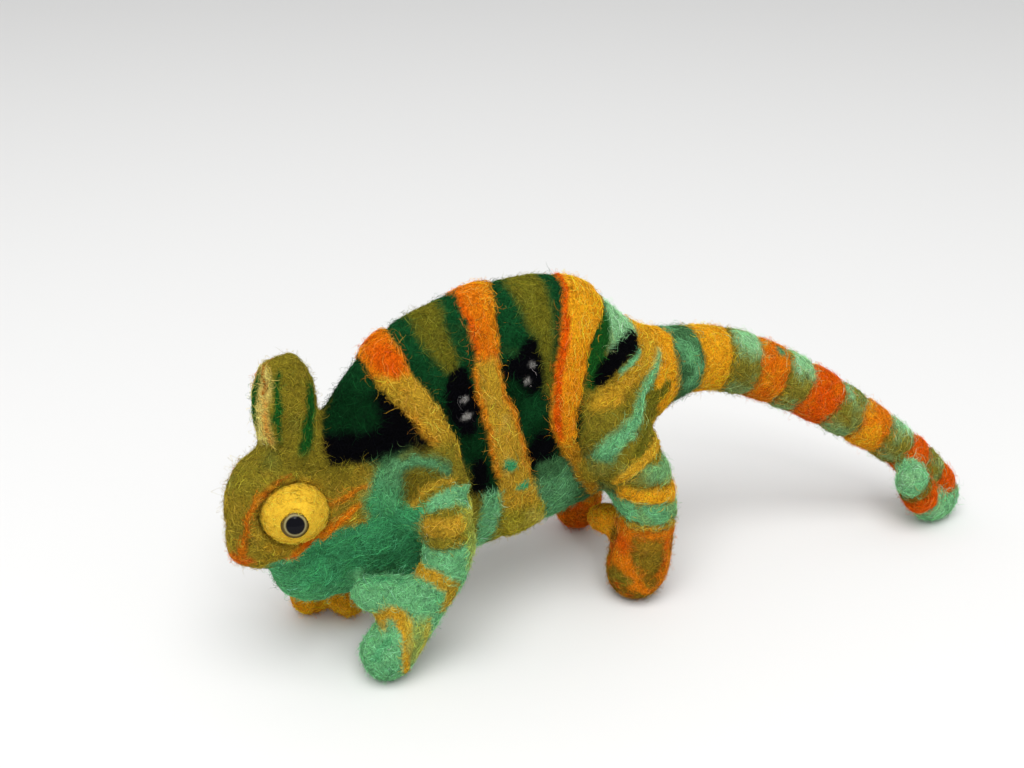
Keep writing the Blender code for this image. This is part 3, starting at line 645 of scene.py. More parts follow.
rope([(-45.4, 35.9, 0.8), (-43.2, 37.4, 1.1), (-40.6, 38.6, 1.1), (-37.8, 39.9, 0.8), (-36.0, 40.4, 0.4)],
     "orange", 0.2, SIDE, 0.9)
rope([(-43.2, 42.8, 0.3), (-39.4, 43.3, 0.4), (-36.4, 43.7, 0.45), (-33.6, 44.3, 0.4)], "orange", 0.15,
     SIDE * 0.8)
rope([(-43.2, 42.3, 0.3), (-38.6, 42.6, 0.4)], "rust", 0.0, SIDE * 0.8)
crease_line = through([(-57.5, 27.0), (-56, 29.0), (-51, 30.1), (-46.5, 33.4), (-43.6, 34.9), (-39, 35.8)])
crease = np.exp(-((nearest(flat, crease_line)[1] / 0.8) ** 2))
lift -= 0.35 * crease * SIDE
print("dyed as mouth:", int((mouth * SIDE > 0.5).sum()), "corners")

# %% [markdown]
# Round each eye turret the wool is heaped into a brow, a bell curve of the distance from the eye's line of
# sight. The glass eye's solid gives that line: it is the thinnest way through it.

# %% Brows round the eyes
TURRET_REACH = 8.0  # mm from the line of sight to the turret's edge


def sight(side):
    """A glass eye's corners, their middle and its line of sight: the thinnest way through them, outward."""
    eye = to_body(np.array([v.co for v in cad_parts[f"{side}_glass_eye"].data.vertices]))
    middle = eye.mean(0)
    gaze = np.linalg.svd(eye - middle)[2][2]
    return eye, middle, gaze * np.sign(gaze[1] * (-1 if side == "left" else 1))


for side, own_side in (("left", y < -1), ("right", y > 1)):
    _, middle, gaze = sight(side)
    off_axis = np.linalg.norm(np.cross(spots - middle, gaze), axis=1)
    brow = face * own_side * np.exp(-(((off_axis - TURRET_REACH - 0.2) / 0.9) ** 2))
    lay(brow * blots(1.6, 41, 1, 0.4) * 0.5, "gold")
    tall += 1.2 * brow
    lift += 1.25 * face * own_side * np.exp(-(((off_axis - TURRET_REACH - 0.5) / 1.1) ** 2))
    print(side, "brow:", int((brow > 0.5).sum()), "corners")

# %% [markdown]
# The casque's front edge is flat enough to carry its own stripes, drawn by height and by the distance across
# from the middle. On its sides a thin green stripe runs down near the front and a broad one near the back.

# %% Casque
upright = eased((shaken_z - 51.5) / 3) * (x < -36)
rope([(-49.8, 72.0, 0.5), (-50.9, 68.5, 0.85), (-51.3, 64, 0.95), (-51.6, 59.5, 0.75), (-51.4, 57, 0.5)],
     "fern", 0.1, upright * SIDE)
rope([(-42.4, 68, 0.9), (-43.2, 62.8, 1.5), (-44.5, 58.2, 1.75), (-45.9, 54.6, 1.6), (-46.6, 52, 0.8)],
     "fern", 0.1, upright * SIDE, 1.0)
front = eased((-50.6 - shaken_x - (shaken_z - 64) * 0.02) / 1.2) * eased((shaken_z - 55) / 2)
across = np.abs(shaken_y + 1.0)
lay(front * between(across, -1, 3.9, 0.8), "straw", 0.1)
lay(front * between(across, -1, 1.0, 0.6) * between(shaken_z, 59, 71.5, 2), "fern", 0.15)
streak = 2.6 - 2.4 * eased((shaken_z - 68.5) / 5.5)
lay(front * between(across, streak - 0.45, streak + 0.45, 0.5) * eased((shaken_z - 66) / 2), "rust", 0.1)
lay(front * between(across, 3.0, 3.7, 0.6) * eased((68 - shaken_z) / 3) * 0.6, "orange")
print("casque front:", int((front > 0.5).sum()), "corners")

# %% [markdown]
# ## Legs
#
# Each leg is wound with rings of colour. The near foreleg leaves the shoulder under an arc of mint round a
# dark hollow; the near hind foot is a ball of rust and red wool. Rings are bands of height, as both legs hang
# almost straight down, and a groove marks where one winding ends and the next begins.

# %% Ring helper
GROOVE, BULGE = 0.30, 0.30


def rings(on, height, table):
    """Bands up a limb: each row of table is (bottom, top, wool); each swells by a parabola between its
    borders, where the skin dips by a bell curve."""
    for bottom, top, wool in table:
        lay(on * between(height, bottom, top, 0.8), wool)
        middle, half = (bottom + top) / 2, (top - bottom) / 2
        lift[:] += BULGE * on * np.clip(1 - ((height - middle) / half) ** 2, 0, 1)
        for border in (bottom, top):
            lift[:] -= GROOVE * on * np.exp(-(((height - border) / 0.55) ** 2))


def on_limb(name, reach=1.6):
    """1 on a limb's own roll, fading over reach past it: one minus the gap over reach."""
    return eased(1.5 - limb_gap[name] / reach)


# %% [markdown]
# The near foreleg takes the most strands: the arc over the shoulder, the dark hollow under it, and rings down
# the upper arm.

# %% Near foreleg
near_fore = on_limb("left_foreleg")
near_flank = eased((-9.5 - shaken_y) / 1.5)
outer_left = eased((-12.0 - shaken_y) / 1.5)
behind_front = eased((shaken_x + 25.9) / 1.2)
lay(near_fore * outer_left * between(flat[:, 1], 30, 52, 2), "olive")
lay(outer_left * (1 - behind_front) * between(flat[:, 1], 24, 41, 1.5), "teal")
lay(near_fore * eased((34 - shaken_z) / 2) * eased((-9 - shaken_y) / 2), "mint")
tilted = shaken_z - 0.12 * (shaken_x + 21)
rings(on_limb("left_foreleg", 1.2) * eased((-10.5 - shaken_y) / 1.5) * behind_front, tilted,
      [(33.8, 38.3, "mustard"), (31.4, 33.8, "olive"), (26.4, 31.4, "mint")])
lay(on_limb("left_foreleg", 1.2) * eased((shaken_x + 17.6) / 1.2) * between(flat[:, 1], 24, 40, 2) * 0.8,
    "lime")
arc = [(-31.5, 37.5, 1.7), (-31.3, 41.5, 2.2), (-30.8, 45.0, 2.2), (-29.4, 48.0, 1.9), (-27.2, 49.7, 1.5),
       (-24.2, 50.2, 1.5), (-20.8, 49.4, 1.4), (-17.8, 47.2, 1.1)]
rope(arc, "sage", 0.40, near_flank, 1.6)
rope([(x0, z0, 0.45 * w0) for x0, z0, w0 in arc[2:]], "mint", 0.1, near_flank * 0.5, 1.4)
lay(near_flank * patch((-32.0, 40.0), (2.8, 5.5), 3.0) * 0.85, "teal")
lay(near_flank * patch((-31.2, 43.0), (1.2, 4.0), 2.0) * 0.4, "mint")
hollow = inside([(-28.8, 45.4), (-27.0, 47.6), (-24, 48.3), (-19, 47.2), (-24.4, 44.8), (-27.0, 41.2),
                 (-28.8, 43.4)], 1.2)
lay(0.65 * outer_left * hollow, "bark", -0.15)
rope([(-26.9, 41.0, 0.6), (-25.6, 43.2, 0.7), (-23.6, 44.7, 0.65), (-19.9, 45.6, 0.7), (-16.0, 44.6, 0.5)],
     "mustard", 0.25, outer_left * 0.8)
rope([(-24.2, 40.4, 1.0), (-21.6, 42.0, 1.5), (-18.0, 42.2, 1.7), (-14.4, 40.4, 1.6)], "mint", 0.3,
     outer_left)
print("near foreleg:", int((near_fore > 0.5).sum()), "corners")

# %% [markdown]
# The hand is mint all over. A mustard strand comes down over the wrist, a gold one curls over the palm, and
# lime and teal break up the rest.

# %% Near hand
palm = eased((-13 - shaken_y) / 2)
hand = np.minimum(limb_gap["left_foreleg"], limb_gap["left_forethumb"])
grip = eased(1.5 - hand / 1.6) * eased((24.5 - shaken_z) / 1.5)
lay(grip, "mint")
rope([(-28.3, 26.7, 0.8), (-26.1, 25.5, 1.4), (-23.2, 24.0, 1.7), (-21.2, 22.2, 1.8), (-21.6, 19.4, 1.6),
      (-23.2, 17.0, 1.1)],
     "mustard", 0.2, near_fore)
lay(near_fore * patch((-26.4, 25.7), (2.4, 1.2), 1.0) * eased((-12 - shaken_y) / 2) * 0.8, "gold")
lay(near_fore * patch((-21.0, 21.5), (1.8, 3.0), 1.2) * 0.45, "olive")
lay(near_fore * patch((-29.0, 9.5), (2.9, 6.5), 1.4) * eased((-15 - shaken_y) / 2) * 0.8, "lime")
rope([(-27.2, 15.5, 0.6), (-27.3, 11, 0.9), (-28.4, 6, 0.9)], "corn", 0.1, near_fore * 0.8)
rope([(-36.8, 14.8, 0.9), (-34.7, 17.6, 1.5), (-32.9, 16.7, 1.6), (-32.3, 13.6, 1.3), (-32.5, 10.2, 1.1),
      (-32.7, 6.5, 1.2), (-32.3, 3.5, 1.2)], "gold", 0.2, on_limb("left_foreleg", 2.4) * palm)
lay(on_limb("left_foreleg", 2.4) * patch((-31.6, 13.0), (1.0, 4.0), 0.8) * palm * 0.6, "corn")
rope([(-36.2, 12.6, 0.4), (-38.0, 10.2, 0.5), (-39.8, 7.6, 0.4)], "teal", -0.35, near_fore * 0.6)
lay(grip * blots(2.0, 90, 2.2, -0.7) * 0.35, "teal")
print("near hand:", int((grip > 0.5).sum()), "corners")

# %% [markdown]
# The far foreleg repeats the arc and the rings, and ends in a hand of amber and orange. From about a
# centimetre above the table up, the hand is half umber: painted shade, where the throat hangs over it.

# %% Far foreleg
far_flank = eased((shaken_y - 9.5) / 1.5)
lay(on_limb("right_foreleg") * far_flank * between(shaken_z, 30, 54, 2), "olive")
rings(on_limb("right_foreleg", 1.2) * far_flank, shaken_z,
      [(39.2, 43.0, "mint"), (35.9, 39.4, "mustard"), (33.0, 35.9, "olive"), (23.5, 33.0, "mint"),
       (18, 23.5, "mustard")])
rope(arc, "sage", 0.40, far_flank, 1.6)
far_hand = np.minimum(limb_gap["right_foreleg"], limb_gap["right_forethumb"])
far_grip = eased(1.5 - far_hand / 1.6) * eased((18.5 - shaken_z) / 2)
lay(far_grip, "amber")
lay(far_grip * blots(3.0, 52) * 0.6, "orange")
# Painted shade: the upper hand is darkened towards umber, under the throat's shadow.
lay(far_grip * eased((shaken_z - 7) / 3) * 0.5, "umber")
print("far hand:", int((far_grip > 0.5).sum()), "corners")

# %% [markdown]
# The near hind leg has rings down to the ankle, below a strand of gold that divides thigh from belly.

# %% Near hind leg
haunch = on_limb("left_hindleg") * eased((-8 - shaken_y) / 2)
leg_height = shaken_z + 0.10 * (shaken_x - 31)
rings(on_limb("left_hindleg", 1.4) * eased((-7 - shaken_y) / 2) * eased((shaken_x - 23.5) / 1.5), leg_height,
      [(31.9, 37.6, "mint"), (27.4, 31.9, "amber"), (21.8, 27.4, "mint"), (20.4, 21.8, "mustard")])
lay(haunch * between(leg_height, 31.4, 38, 1.2) * (0.25 + 0.6 * eased((32 - shaken_x) / 5)), "olive")
lay(haunch * between(leg_height, 22, 27.2, 1.2) * blots(2.2, 61) * 0.35, "olive")
lay(haunch * between(leg_height, 31.2, 33.2, 1.2) * 0.5, "olive")
rope([(41, 40.6, 1.1), (34.9, 40.3, 1.25), (30.4, 39.1, 1.2), (26.7, 36.6, 1.1), (23.2, 33.6, 0.8)], "gold",
     0.45, eased((-6 - shaken_y) / 2))
print("near haunch and leg:", int((haunch > 0.5).sum()), "corners")

# %% [markdown]
# The foot is a ball: blots of four wools, a ring of orange round its outer face, and an umber heart. The
# thumb that turns in under the body is amber, blotted with orange, and its dye is lifted a little as painted
# light against the shadow of the belly.

# %% Near hind foot
foot = on_limb("left_hindleg") * eased((20.8 - leg_height) / 1.2)
lay(foot, "umber")
lay(foot * blots(2.6, 33, 2.2, -0.1) * 0.7, "orange")
lay(foot * blots(2.2, 17, 2.4, -0.6) * 0.7, "red")
lay(foot * blots(2.0, 71, 2.4, -0.3) * 0.75, "olive")
lay(foot * between(leg_height, 17.8, 21, 1.2) * 0.75, "orange")
outside = foot * eased((-15 - shaken_y) / 2)
lay(outside * between(shaken_z, 14.5, 17.8, 1.5) * between(flat[:, 0], 28.5, 34.5, 2) * 0.5, "mustard")
rope([(26.6, 20, 1.1), (25.8, 16, 1.3), (26.0, 11, 1.3), (27.8, 6.5, 1.1), (31, 4.2, 0.9), (34.6, 5.4, 0.8),
      (36.6, 9, 0.9), (36.8, 14, 1.0), (35.6, 18, 0.9)], "orange", 0.1, outside * 0.9)
lay(outside * patch((26.2, 16.4), (1.2, 2.0), 1.2) * 0.8, "red")
lay(outside * patch((35.8, 15.6), (1.0, 1.6), 1.0) * 0.7, "red")
lay(outside * patch((31.7, 12.1), (3.5, 3.3), 0.9), "umber", -0.15)
lay(outside * patch((31.7, 12.1), (3.0, 2.8), 1.4) * 0.45, "olive")
lay(foot * patch((25.4, 7.6), (1.6, 1.8), 1.0) * 0.8, "olive")
thumb = eased(1.5 - limb_gap["left_hindthumb"] / 1.2) * eased((shaken_y + 13.5) / 2)
lay(thumb, "amber")
lay(thumb * (0.25 + 0.4 * blots(2.4, 38)), "orange")
# Painted light: the thumb sits in the belly's shadow, so its dye is lifted by up to 15% to soften it.
dye *= 1 + 0.15 * thumb[:, None]
print("near hind foot:", int((foot > 0.5).sum()), "corners; its thumb:", int((thumb > 0.5).sum()))

# %% [markdown]
# The far hind leg shows less, so three rings and a ball of red, orange and rust are enough.

# %% Far hind leg
rings(on_limb("right_hindleg", 1.4) * eased((shaken_y - 7) / 2), shaken_z,
      [(31.5, 36.6, "mint"), (26.6, 31.5, "amber"), (19.5, 26.6, "mustard")])
far_foot = np.minimum(limb_gap["right_hindleg"], limb_gap["right_hindthumb"])
ball = eased(1.5 - far_foot / 1.6) * eased((19.5 - shaken_z) / 1.5) * eased((shaken_y - 5) / 2)
lay(ball, "red")
lay(ball * blots(3.2, 83, 2, 0.2) * 0.6, "orange")
lay(ball * eased((shaken_x - 33) / 3) * eased((shaken_z - 8) / 3) * 0.8, "amber")
lay(ball * blots(2.4, 29, 2.2, -0.5) * 0.6, "rust")
print("far hind foot:", int((ball > 0.5).sum()), "corners")

# %% [markdown]
# ## Rings of the tail
#
# From rump to curl the tail is wound with seventeen rings, told apart by their places along its line,
# measured from the rump. Where mint strands were run along the back, they show only on top.

# %% Tail
tail = eased((shaken_x - 47) / 2.5)
ring_at = tail_run + 0.9 * mottle(spots, 5, 13)
up = np.sin(np.radians(tail_angle))
TAIL_RINGS = (
    # from, to, wool
    (-9, 1.0, "amber"), (1.0, 11.0, "sage"), (11.0, 20.7, "amber"), (20.7, 29.0, "olive"),
    (29.0, 38.0, "orange"), (38.0, 45.5, "olive"), (45.5, 55.0, "red"), (55.0, 62.7, "olive"),
    (62.7, 71.5, "orange"), (71.5, 79.3, "olive"), (79.3, 86.0, "red"), (86.0, 92.2, "olive"),
    (92.2, 97.6, "red"), (97.6, 110.5, "mint"), (110.5, 115.8, "red"), (115.8, 118.0, "umber"),
    (118.0, 130.0, "mint"),
)
lean = 2.8 * up * eased((14 - tail_run) / 10)
rings(tail, ring_at - lean, TAIL_RINGS)
print("tail rings:", len(TAIL_RINGS))

# %% [markdown]
# Along the back and, fainter, underneath, pale strands cross the green rings. The warm rings are blotted with
# their neighbours' colours, since each was blended from two or three wools.

# %% Mottling the tail
top, bottom = eased(up * 1.6 - 0.3), eased(-up * 1.6 - 0.5)
for start, end in ((21.5, 29.0), (38.6, 45.5), (55.6, 62.7), (71.8, 79.3), (86.0, 92.0)):
    green = tail * between(ring_at, start, end, 1.2)
    lay(green * (0.35 * blots(2.2, 97, 2, -0.1) + 0.04), "mint")
    lay(green * np.maximum(top, bottom * 0.5) * blots(4, 8, 2, 1.0), "aqua")
lay(tail * between(ring_at, 2, 10.5, 3) * blots(3, 37) * 0.7, "mint")
lay(tail * between(ring_at, 29.2, 37.8) * blots(3.4, 76) * 0.4, "red")
lay(tail * between(ring_at, 29.2, 37.8) * blots(2.4, 26, 2, -0.4) * 0.5, "amber")
lay(tail * between(ring_at, 63.0, 71.2) * blots(3.4, 46, 2, 0.4) * 0.7, "amber")
lay(tail * between(ring_at, 46, 54) * blots(3.0, 16, 2, -0.2) * 0.5, "orange")
lay(tail * between(ring_at, 98, 110) * (0.3 + 0.6 * blots(2.6, 64)), "aqua")
lay(tail * between(ring_at, 118, 131) * (0.2 + 0.6 * blots(2.6, 24)), "aqua")
print("mean dye of the tail:", dye[part == "tail"].mean(0).round(3))

# %% [markdown]
# One small green dot sits high on the near side of an orange ring. It is round on the roll, so the distance
# from it is measured along the line and round it: angle times radius.

# %% A dot on the tail
DOT_RUN, DOT_ANGLE, DOT_RADIUS = 34.0, 58.0, 1.5  # where the one green dot is, and its size
TAIL_RADIUS = 7.4  # mm, at the dot
round_tail = np.radians((tail_angle - DOT_ANGLE + 180) % 360 - 180) * TAIL_RADIUS
near_dot = np.hypot(tail_run - DOT_RUN, round_tail)
dot = tail * np.clip((DOT_RADIUS - near_dot) / 0.8 + 0.5, 0, 1)
lay(dot, "sage", 0.2)
lay(dot * 0.3, "mint")
reach[near_dot < DOT_RADIUS + 0.5] = 0.4
print("green dot:", int((dot > 0.5).sum()), "corners")

# %% [markdown]
# ## Lumps, pricks and the finished skin
#
# Hand-felted wool is never round: it has low lumps a few millimetres across, and a pit wherever the needle
# went in last. Both are heights added to the skin. The pits gather shadow, so they are also dyed a little
# darker.

# %% Finishing the skin
COAT_DEPTH = 0.35  # mm from the solids' surface down to the skin
# Painted shade: the mat under the fibres is dyed darker for the shadow they cast on it.
SKIN_PAINTED_SHADE = 0.62  # the mat under the fibres is darker than they are
SKIN_CLEAR, FIBRE_CLEAR = 0.05, 0.08  # mm kept above the floor
lift += 0.16 * mottle(spots, 3.4, 3) + 0.10 * mottle(spots, 1.7, 5)
pits = blots(1.15, 66, 4, -2.3)
lift -= 0.16 * pits
dye *= (1 + 0.10 * mottle(spots, 2.2, 15) + 0.08 * mottle(spots, 0.9, 19))[:, None]
dye *= (1 - 0.35 * pits)[:, None]
soft_foot = eased(z / 2.0)
spots_finished = spots + outward * (lift * soft_foot - SWELL - COAT_DEPTH)[:, None]
spots_finished[:, 2] = np.maximum(spots_finished[:, 2], SKIN_CLEAR)
print("pits cover", round(float((pits > 0.5).mean()) * 100, 1), "% of the skin")

# %% [markdown]
# Whole arrays go into a mesh at once, with foreach_set, which is far quicker than corner by corner. A
# finished mesh then becomes a piece: linked to the scene, given its felt, and told which body it rides on.

# %% From arrays to a piece
def mesh_from(name, corners, faces):
    """A mesh of triangles from whole arrays of corners (mm on the body) and faces."""
    mesh = bpy.data.meshes.new(name)
    mesh.vertices.add(len(corners))
    mesh.vertices.foreach_set("co", to_frame(corners).astype(np.float32).ravel())
    mesh.loops.add(faces.size)
    mesh.loops.foreach_set("vertex_index", faces.astype(np.int32).ravel())
    mesh.polygons.add(len(faces))
    mesh.polygons.foreach_set("loop_start", np.arange(0, faces.size, 3, dtype=np.int32))
    mesh.update(calc_edges=True)
    mesh.polygons.foreach_set("use_smooth", np.ones(len(faces), bool))
    return mesh


def dyed(mesh, colours):
    """Stores one colour at each corner of the mesh under the name dye."""
    layer = mesh.attributes.new("dye", "FLOAT_COLOR", "POINT")
    opaque = np.column_stack([colours, np.ones(len(colours))]).astype(np.float32)
    layer.data.foreach_set("color", opaque.ravel())


def placed(name, mesh, material, slot, *nodes):
    """An object for a finished mesh: linked, given its material, riding on the root, for its solids."""
    piece = bpy.data.objects.new(name, mesh)
    bpy.context.scene.collection.objects.link(piece)
    mesh.materials.append(material)
    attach(piece, "root")
    if nodes:
        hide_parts(*nodes)
    return piece


# %% [markdown]
# ## Felt as a material
#
# Up close, felt is a tangle of fibres a fortieth of a millimetre thick. The colour comes from the dye stored
# in the mesh, broken up by fine noise; the same noise drives a bump, so the surface stays matt and dry. A
# touch of sheen stands for the light that fine fibres catch at grazing angles. Base colour varies from point
# to point and goes through nodes; roughness and sheen are the same all over, so they are set on the shader
# itself. Three felts are made: the loose mat of the body, the tight one of the eye turrets, and the single
# fibres.

# %% Felt material
def dial(node, **settings):
    """Sets a node's inputs by name: input "Base Color" is written Base_Color."""
    for name, value in settings.items():
        node.inputs[name.replace("_", " ")].default_value = value


def felt(name, grain, contrast, bump):
    """Wool: the stored dye times fine noise of a grain in mm, with a bump of that noise, dry and matt."""
    material = bpy.data.materials.new(name)
    material.use_nodes = True
    nodes, links = material.node_tree.nodes, material.node_tree.links
    shader = nodes["Principled BSDF"]
    dial(shader, Roughness=0.95, Specular_IOR_Level=0.01, Sheen_Weight=0.01, Sheen_Roughness=0.5)
    colour = nodes.new("ShaderNodeAttribute")
    colour.attribute_name = "dye"
    place = nodes.new("ShaderNodeTexCoord")
    tangle = nodes.new("ShaderNodeTexNoise")
    dial(tangle, Scale=1 / (grain * MM), Detail=3.0, Distortion=0.8)
    shade = nodes.new("ShaderNodeMapRange")
    dial(shade, From_Min=0.3, From_Max=0.7, To_Min=1 - contrast, To_Max=1 + contrast)
    times = nodes.new("ShaderNodeVectorMath")
    times.operation = "SCALE"
    raised = nodes.new("ShaderNodeBump")
    dial(raised, Strength=0.7, Distance=bump * MM)
    links.new(place.outputs["Object"], tangle.inputs["Vector"])
    links.new(tangle.outputs["Fac"], shade.inputs["Value"])
    links.new(colour.outputs["Color"], times.inputs[0])
    links.new(shade.outputs["Result"], times.inputs["Scale"])
    links.new(times.outputs["Vector"], shader.inputs["Base Color"])
    links.new(tangle.outputs["Fac"], raised.inputs["Height"])
    links.new(raised.outputs["Normal"], shader.inputs["Normal"])
    return material


# %% [markdown]
# The dyed and heaped skin replaces every wool solid at once. It is read back as a mesh, because the fibres to
# come must follow the lumps and strands it has now.

# %% Skinning the figurine
felt_skin_wool = felt("matted_wool", 0.40, 0.55, 0.20)
tight_wool = felt("needled_wool", 0.30, 0.16, 0.06)
loose_wool = felt("loose_wool", 0.8, 0.15, 0.02)
skin_mesh = mesh_from("felt_skin", spots_finished, triangles)
# Painted shade: the skin takes a darker copy of the dye, for the shadow of the fibres over it.
dyed(skin_mesh, dye * SKIN_PAINTED_SHADE)
placed("felt_skin", skin_mesh, felt_skin_wool, "forest_wool", *FLESH)
spots, outward, _ = read_mesh(skin_mesh)
print("skin triangles:", len(triangles))

# %% [markdown]
# ## Walking on the skin
#
# Fibres lie on the skin, so each must be led over its curves. The quick way to find the nearest bit of skin
# for thousands of points at once is a coarse box of cells that each remember one corner of the skin, and pass
# it on to neighbours that have none or a worse one. A step of a fibre is then: go ahead, look up the cell,
# and drop back to the plane of the skin there.

# %% Nearest bit of skin
CELL = 0.7
SPREADS = 3


def cells_of(points):
    """A box of cells that each hold a near corner's index: fill it, then each cell offers its own onward."""
    low = points.min(0) - 6 * CELL
    shape = np.ceil((points.max(0) + 6 * CELL - low) / CELL).astype(int)
    owner = np.full(shape, -1, np.int32)
    owner[tuple(((points - low) / CELL).astype(int).T)] = np.arange(len(points))
    reach = np.full(shape, 1e9, np.float32)
    filled = np.argwhere(owner >= 0)
    held = owner[tuple(filled.T)]
    reach[tuple(filled.T)] = np.linalg.norm((filled + 0.5) * CELL + low - points[held], axis=1)
    for _ in range(SPREADS):
        for side, step in np.ndindex(3, 2):
            filled = np.argwhere(owner >= 0)
            held = owner[tuple(filled.T)]
            filled[:, side] += 2 * step - 1
            off = np.linalg.norm((filled + 0.5) * CELL + low - points[held], axis=1)
            better = off < reach[tuple(filled.T)]
            owner[tuple(filled[better].T)] = held[better]
            reach[tuple(filled[better].T)] = off[better]
    return low, owner


def drop_on(points, before, cells, surface, facing):
    """Points dropped to the plane of the nearest corner: p minus ((p - corner) . normal) times the normal."""
    low, owner = cells
    where = np.clip(((points - low) / CELL).astype(int), 0, np.array(owner.shape) - 1)
    found = owner[tuple(where.T)]
    found = np.where(found < 0, before, found)
    up = facing[found]
    return points - ((points - surface[found]) * up).sum(1)[:, None] * up, found


skin_cells = cells_of(spots)
print("cells:", skin_cells[1].shape, "filled:", int((skin_cells[1] >= 0).sum()))

# %% [markdown]
# ## A single fibre
#
# A fibre is a hair-thin closed strand: a point at each end and three-cornered rings between. Its middle sits
# at its root, and it is led over the skin both ways, turning a little at each step as crimped wool does. Long
# ones lie flat with both ends tucked in and have four rings, 24 triangles in all. Short ones stand up or loop
# back: these are the fuzz that shows against the light, and two rings are enough for them. Each fibre also
# gets a tiny patch of the texture at its root's place, on a map unrolled from the skin of its own body part.

# %% Fibre template
SIDES = 3
BAKE_PATCH = 0.003  # of the texture's width, for each fibre
ROOT_SCATTER = 0.30  # mm
# Which of a strand's six points carry a ring.
LONG_RINGS, SHORT_RINGS = np.array([1, 2, 3, 4]), np.array([2, 3])


def fibre_template(rings):
    """Triangles of one strand and their places in its texture patch: two fans of three, and belts of six."""
    faces, places = [], []
    near_tip, far_tip, step = rings * SIDES, rings * SIDES + 1, 1 / (rings + 1)
    for side in range(SIDES):
        right = (side + 1) % SIDES
        v0, v1 = side / SIDES, (side + 1) / SIDES
        faces.append((near_tip, side, right))
        places.append(((0, (v0 + v1) / 2), (step, v0), (step, v1)))
        last = (rings - 1) * SIDES
        faces.append((far_tip, last + right, last + side))
        places.append(((1, (v0 + v1) / 2), (1 - step, v1), (1 - step, v0)))
        for ring in range(rings - 1):
            a, b = ring * SIDES + side, ring * SIDES + right
            c, d = a + SIDES, b + SIDES
            u0, u1 = step * (ring + 1), step * (ring + 2)
            faces += [(a, c, d), (a, d, b)]
            places += [((u0, v0), (u1, v0), (u1, v1)), ((u0, v0), (u1, v1), (u0, v1))]
    return np.array(faces), np.array(places, float)


TEMPLATES = {len(points): fibre_template(len(points)) for points in (LONG_RINGS, SHORT_RINGS)}
print("triangles in a fibre:", [len(faces) for faces, _ in TEMPLATES.values()])

# %% [markdown]
# Thousands of fibres are walked over the skin together: each line of the code works on all of them at once.
# Chance decides how far each strays from the way the wool was wound, and how much it crimps.

# %% Growing fibres
def grown(roots, skin, ways, stray, length, girth, heights, bend, ringed):
    """Corners of many strands at once. Half of each is walked each way from its root in steps of a fifth of
    its length; ring corners are the centre plus girth times (cos a across + sin a up) at three angles."""
    surface, facing, cells = skin
    up = facing[roots]
    turn = CHANCE.normal(0, 1, len(roots)) * stray
    way = ways * np.cos(turn)[:, None] + np.cross(up, ways) * np.sin(turn)[:, None]
    start = surface[roots] + ROOT_SCATTER * CHANCE.normal(0, 1, (len(roots), 3))
    start, home = drop_on(start, roots, cells, surface, facing)
    line = np.empty((6, len(roots), 3))
    ups = np.empty_like(line)
    curve = CHANCE.normal(0, 1, len(roots)) * bend
    for sign in (-1, 1):
        place, held, heading = start, home, way * sign
        for hop in range(3):
            stride = (0.5 if hop == 0 else 1.0) * length / 5
            place, held = drop_on(place + heading * stride[:, None], held, cells, surface, facing)
            up = facing[held]
            swing = sign * curve + CHANCE.normal(0, 0.8, len(roots)) * bend
            heading = heading * np.cos(swing)[:, None] + np.cross(up, heading) * np.sin(swing)[:, None]
            heading = unit(heading - (heading * up).sum(1)[:, None] * up)
            slot = 3 + hop if sign > 0 else 2 - hop
            line[slot], ups[slot] = place, up
    line += ups * heights[:, :, None]
    line[:, :, 2] = np.maximum(line[:, :, 2], FIBRE_CLEAR)
    ahead = unit(line[ringed + 1] - line[ringed - 1])
    across = unit(np.cross(ahead, ups[ringed]))
    above = np.cross(across, ahead)
    taper = girth[None, :, None] * np.where((ringed == 1) | (ringed == 4), 0.75, 1.0)[:, None, None]
    rings_of = [
        line[ringed] + taper * (math.cos(a) * across + math.sin(a) * above)
        for a in np.radians([90, 210, 330])
    ]
    corners = np.stack(rings_of, axis=1).reshape(len(ringed) * SIDES, len(roots), 3)
    return np.vstack([corners, line[:1], line[-1:]]).transpose(1, 0, 2)


# %% [markdown]
# Every fibre has the template's faces, only further on in the list of corners: one addition makes them all.

# %% A mesh of fibres
def fibre_mesh(name, corners, colours, places):
    """One mesh of many strands: the template's faces and texture patches, moved on strand by strand."""
    strands, each = corners.shape[:2]
    shape, spread_out = TEMPLATES[(each - 2) // SIDES]
    faces = (shape[None] + (np.arange(strands) * each)[:, None, None]).reshape(-1, 3)
    mesh = mesh_from(name, corners.reshape(-1, 3), faces)
    dyed(mesh, np.repeat(colours, each, axis=0))
    patch_map = mesh.uv_layers.new(name="OFBake")
    laid = places[:, None, None, :] + spread_out[None] * BAKE_PATCH
    patch_map.data.foreach_set("uv", laid.astype(np.float32).ravel())
    return mesh


# %% [markdown]
# ## The coat, part by part
#
# Longest on the trunk, shorter on the legs and tail, shortest on face and feet. Each body part is a piece of
# its own, so none grows too heavy, and each is unrolled in its own way: limbs and trunk round their lines,
# the head round an upright axis.

# %% Unrolled skin
def fitted(values):
    """Values moved and scaled to fill 0 to 1, less one patch."""
    return (values - values.min()) / max(np.ptp(values), 1e-9) * (1 - BAKE_PATCH)


unrolled = np.zeros((count, 2))
round_trunk = np.arctan2(y, z - 45)
unrolled[:, 0], unrolled[:, 1] = x, round_trunk
on = part == "tail"
unrolled[on] = np.column_stack([tail_run, tail_angle])[on]
for name in limb_run:
    if "thumb" not in name:
        on = part == name
        unrolled[on] = np.column_stack([limb_run[name], limb_angle[name]])[on]
for name in ("head", "casque", "throat"):
    on = part == name
    unrolled[on] = np.column_stack([np.arctan2(y, -(x + 46)), z])[on]
print("parts unrolled:", len(set(part)))

# %% [markdown]
# The trunk is too big for one piece of coat, so it is parted in six, and the tail in two. The skin's area at
# each corner, a third of its triangles', says how many fibres a piece needs.

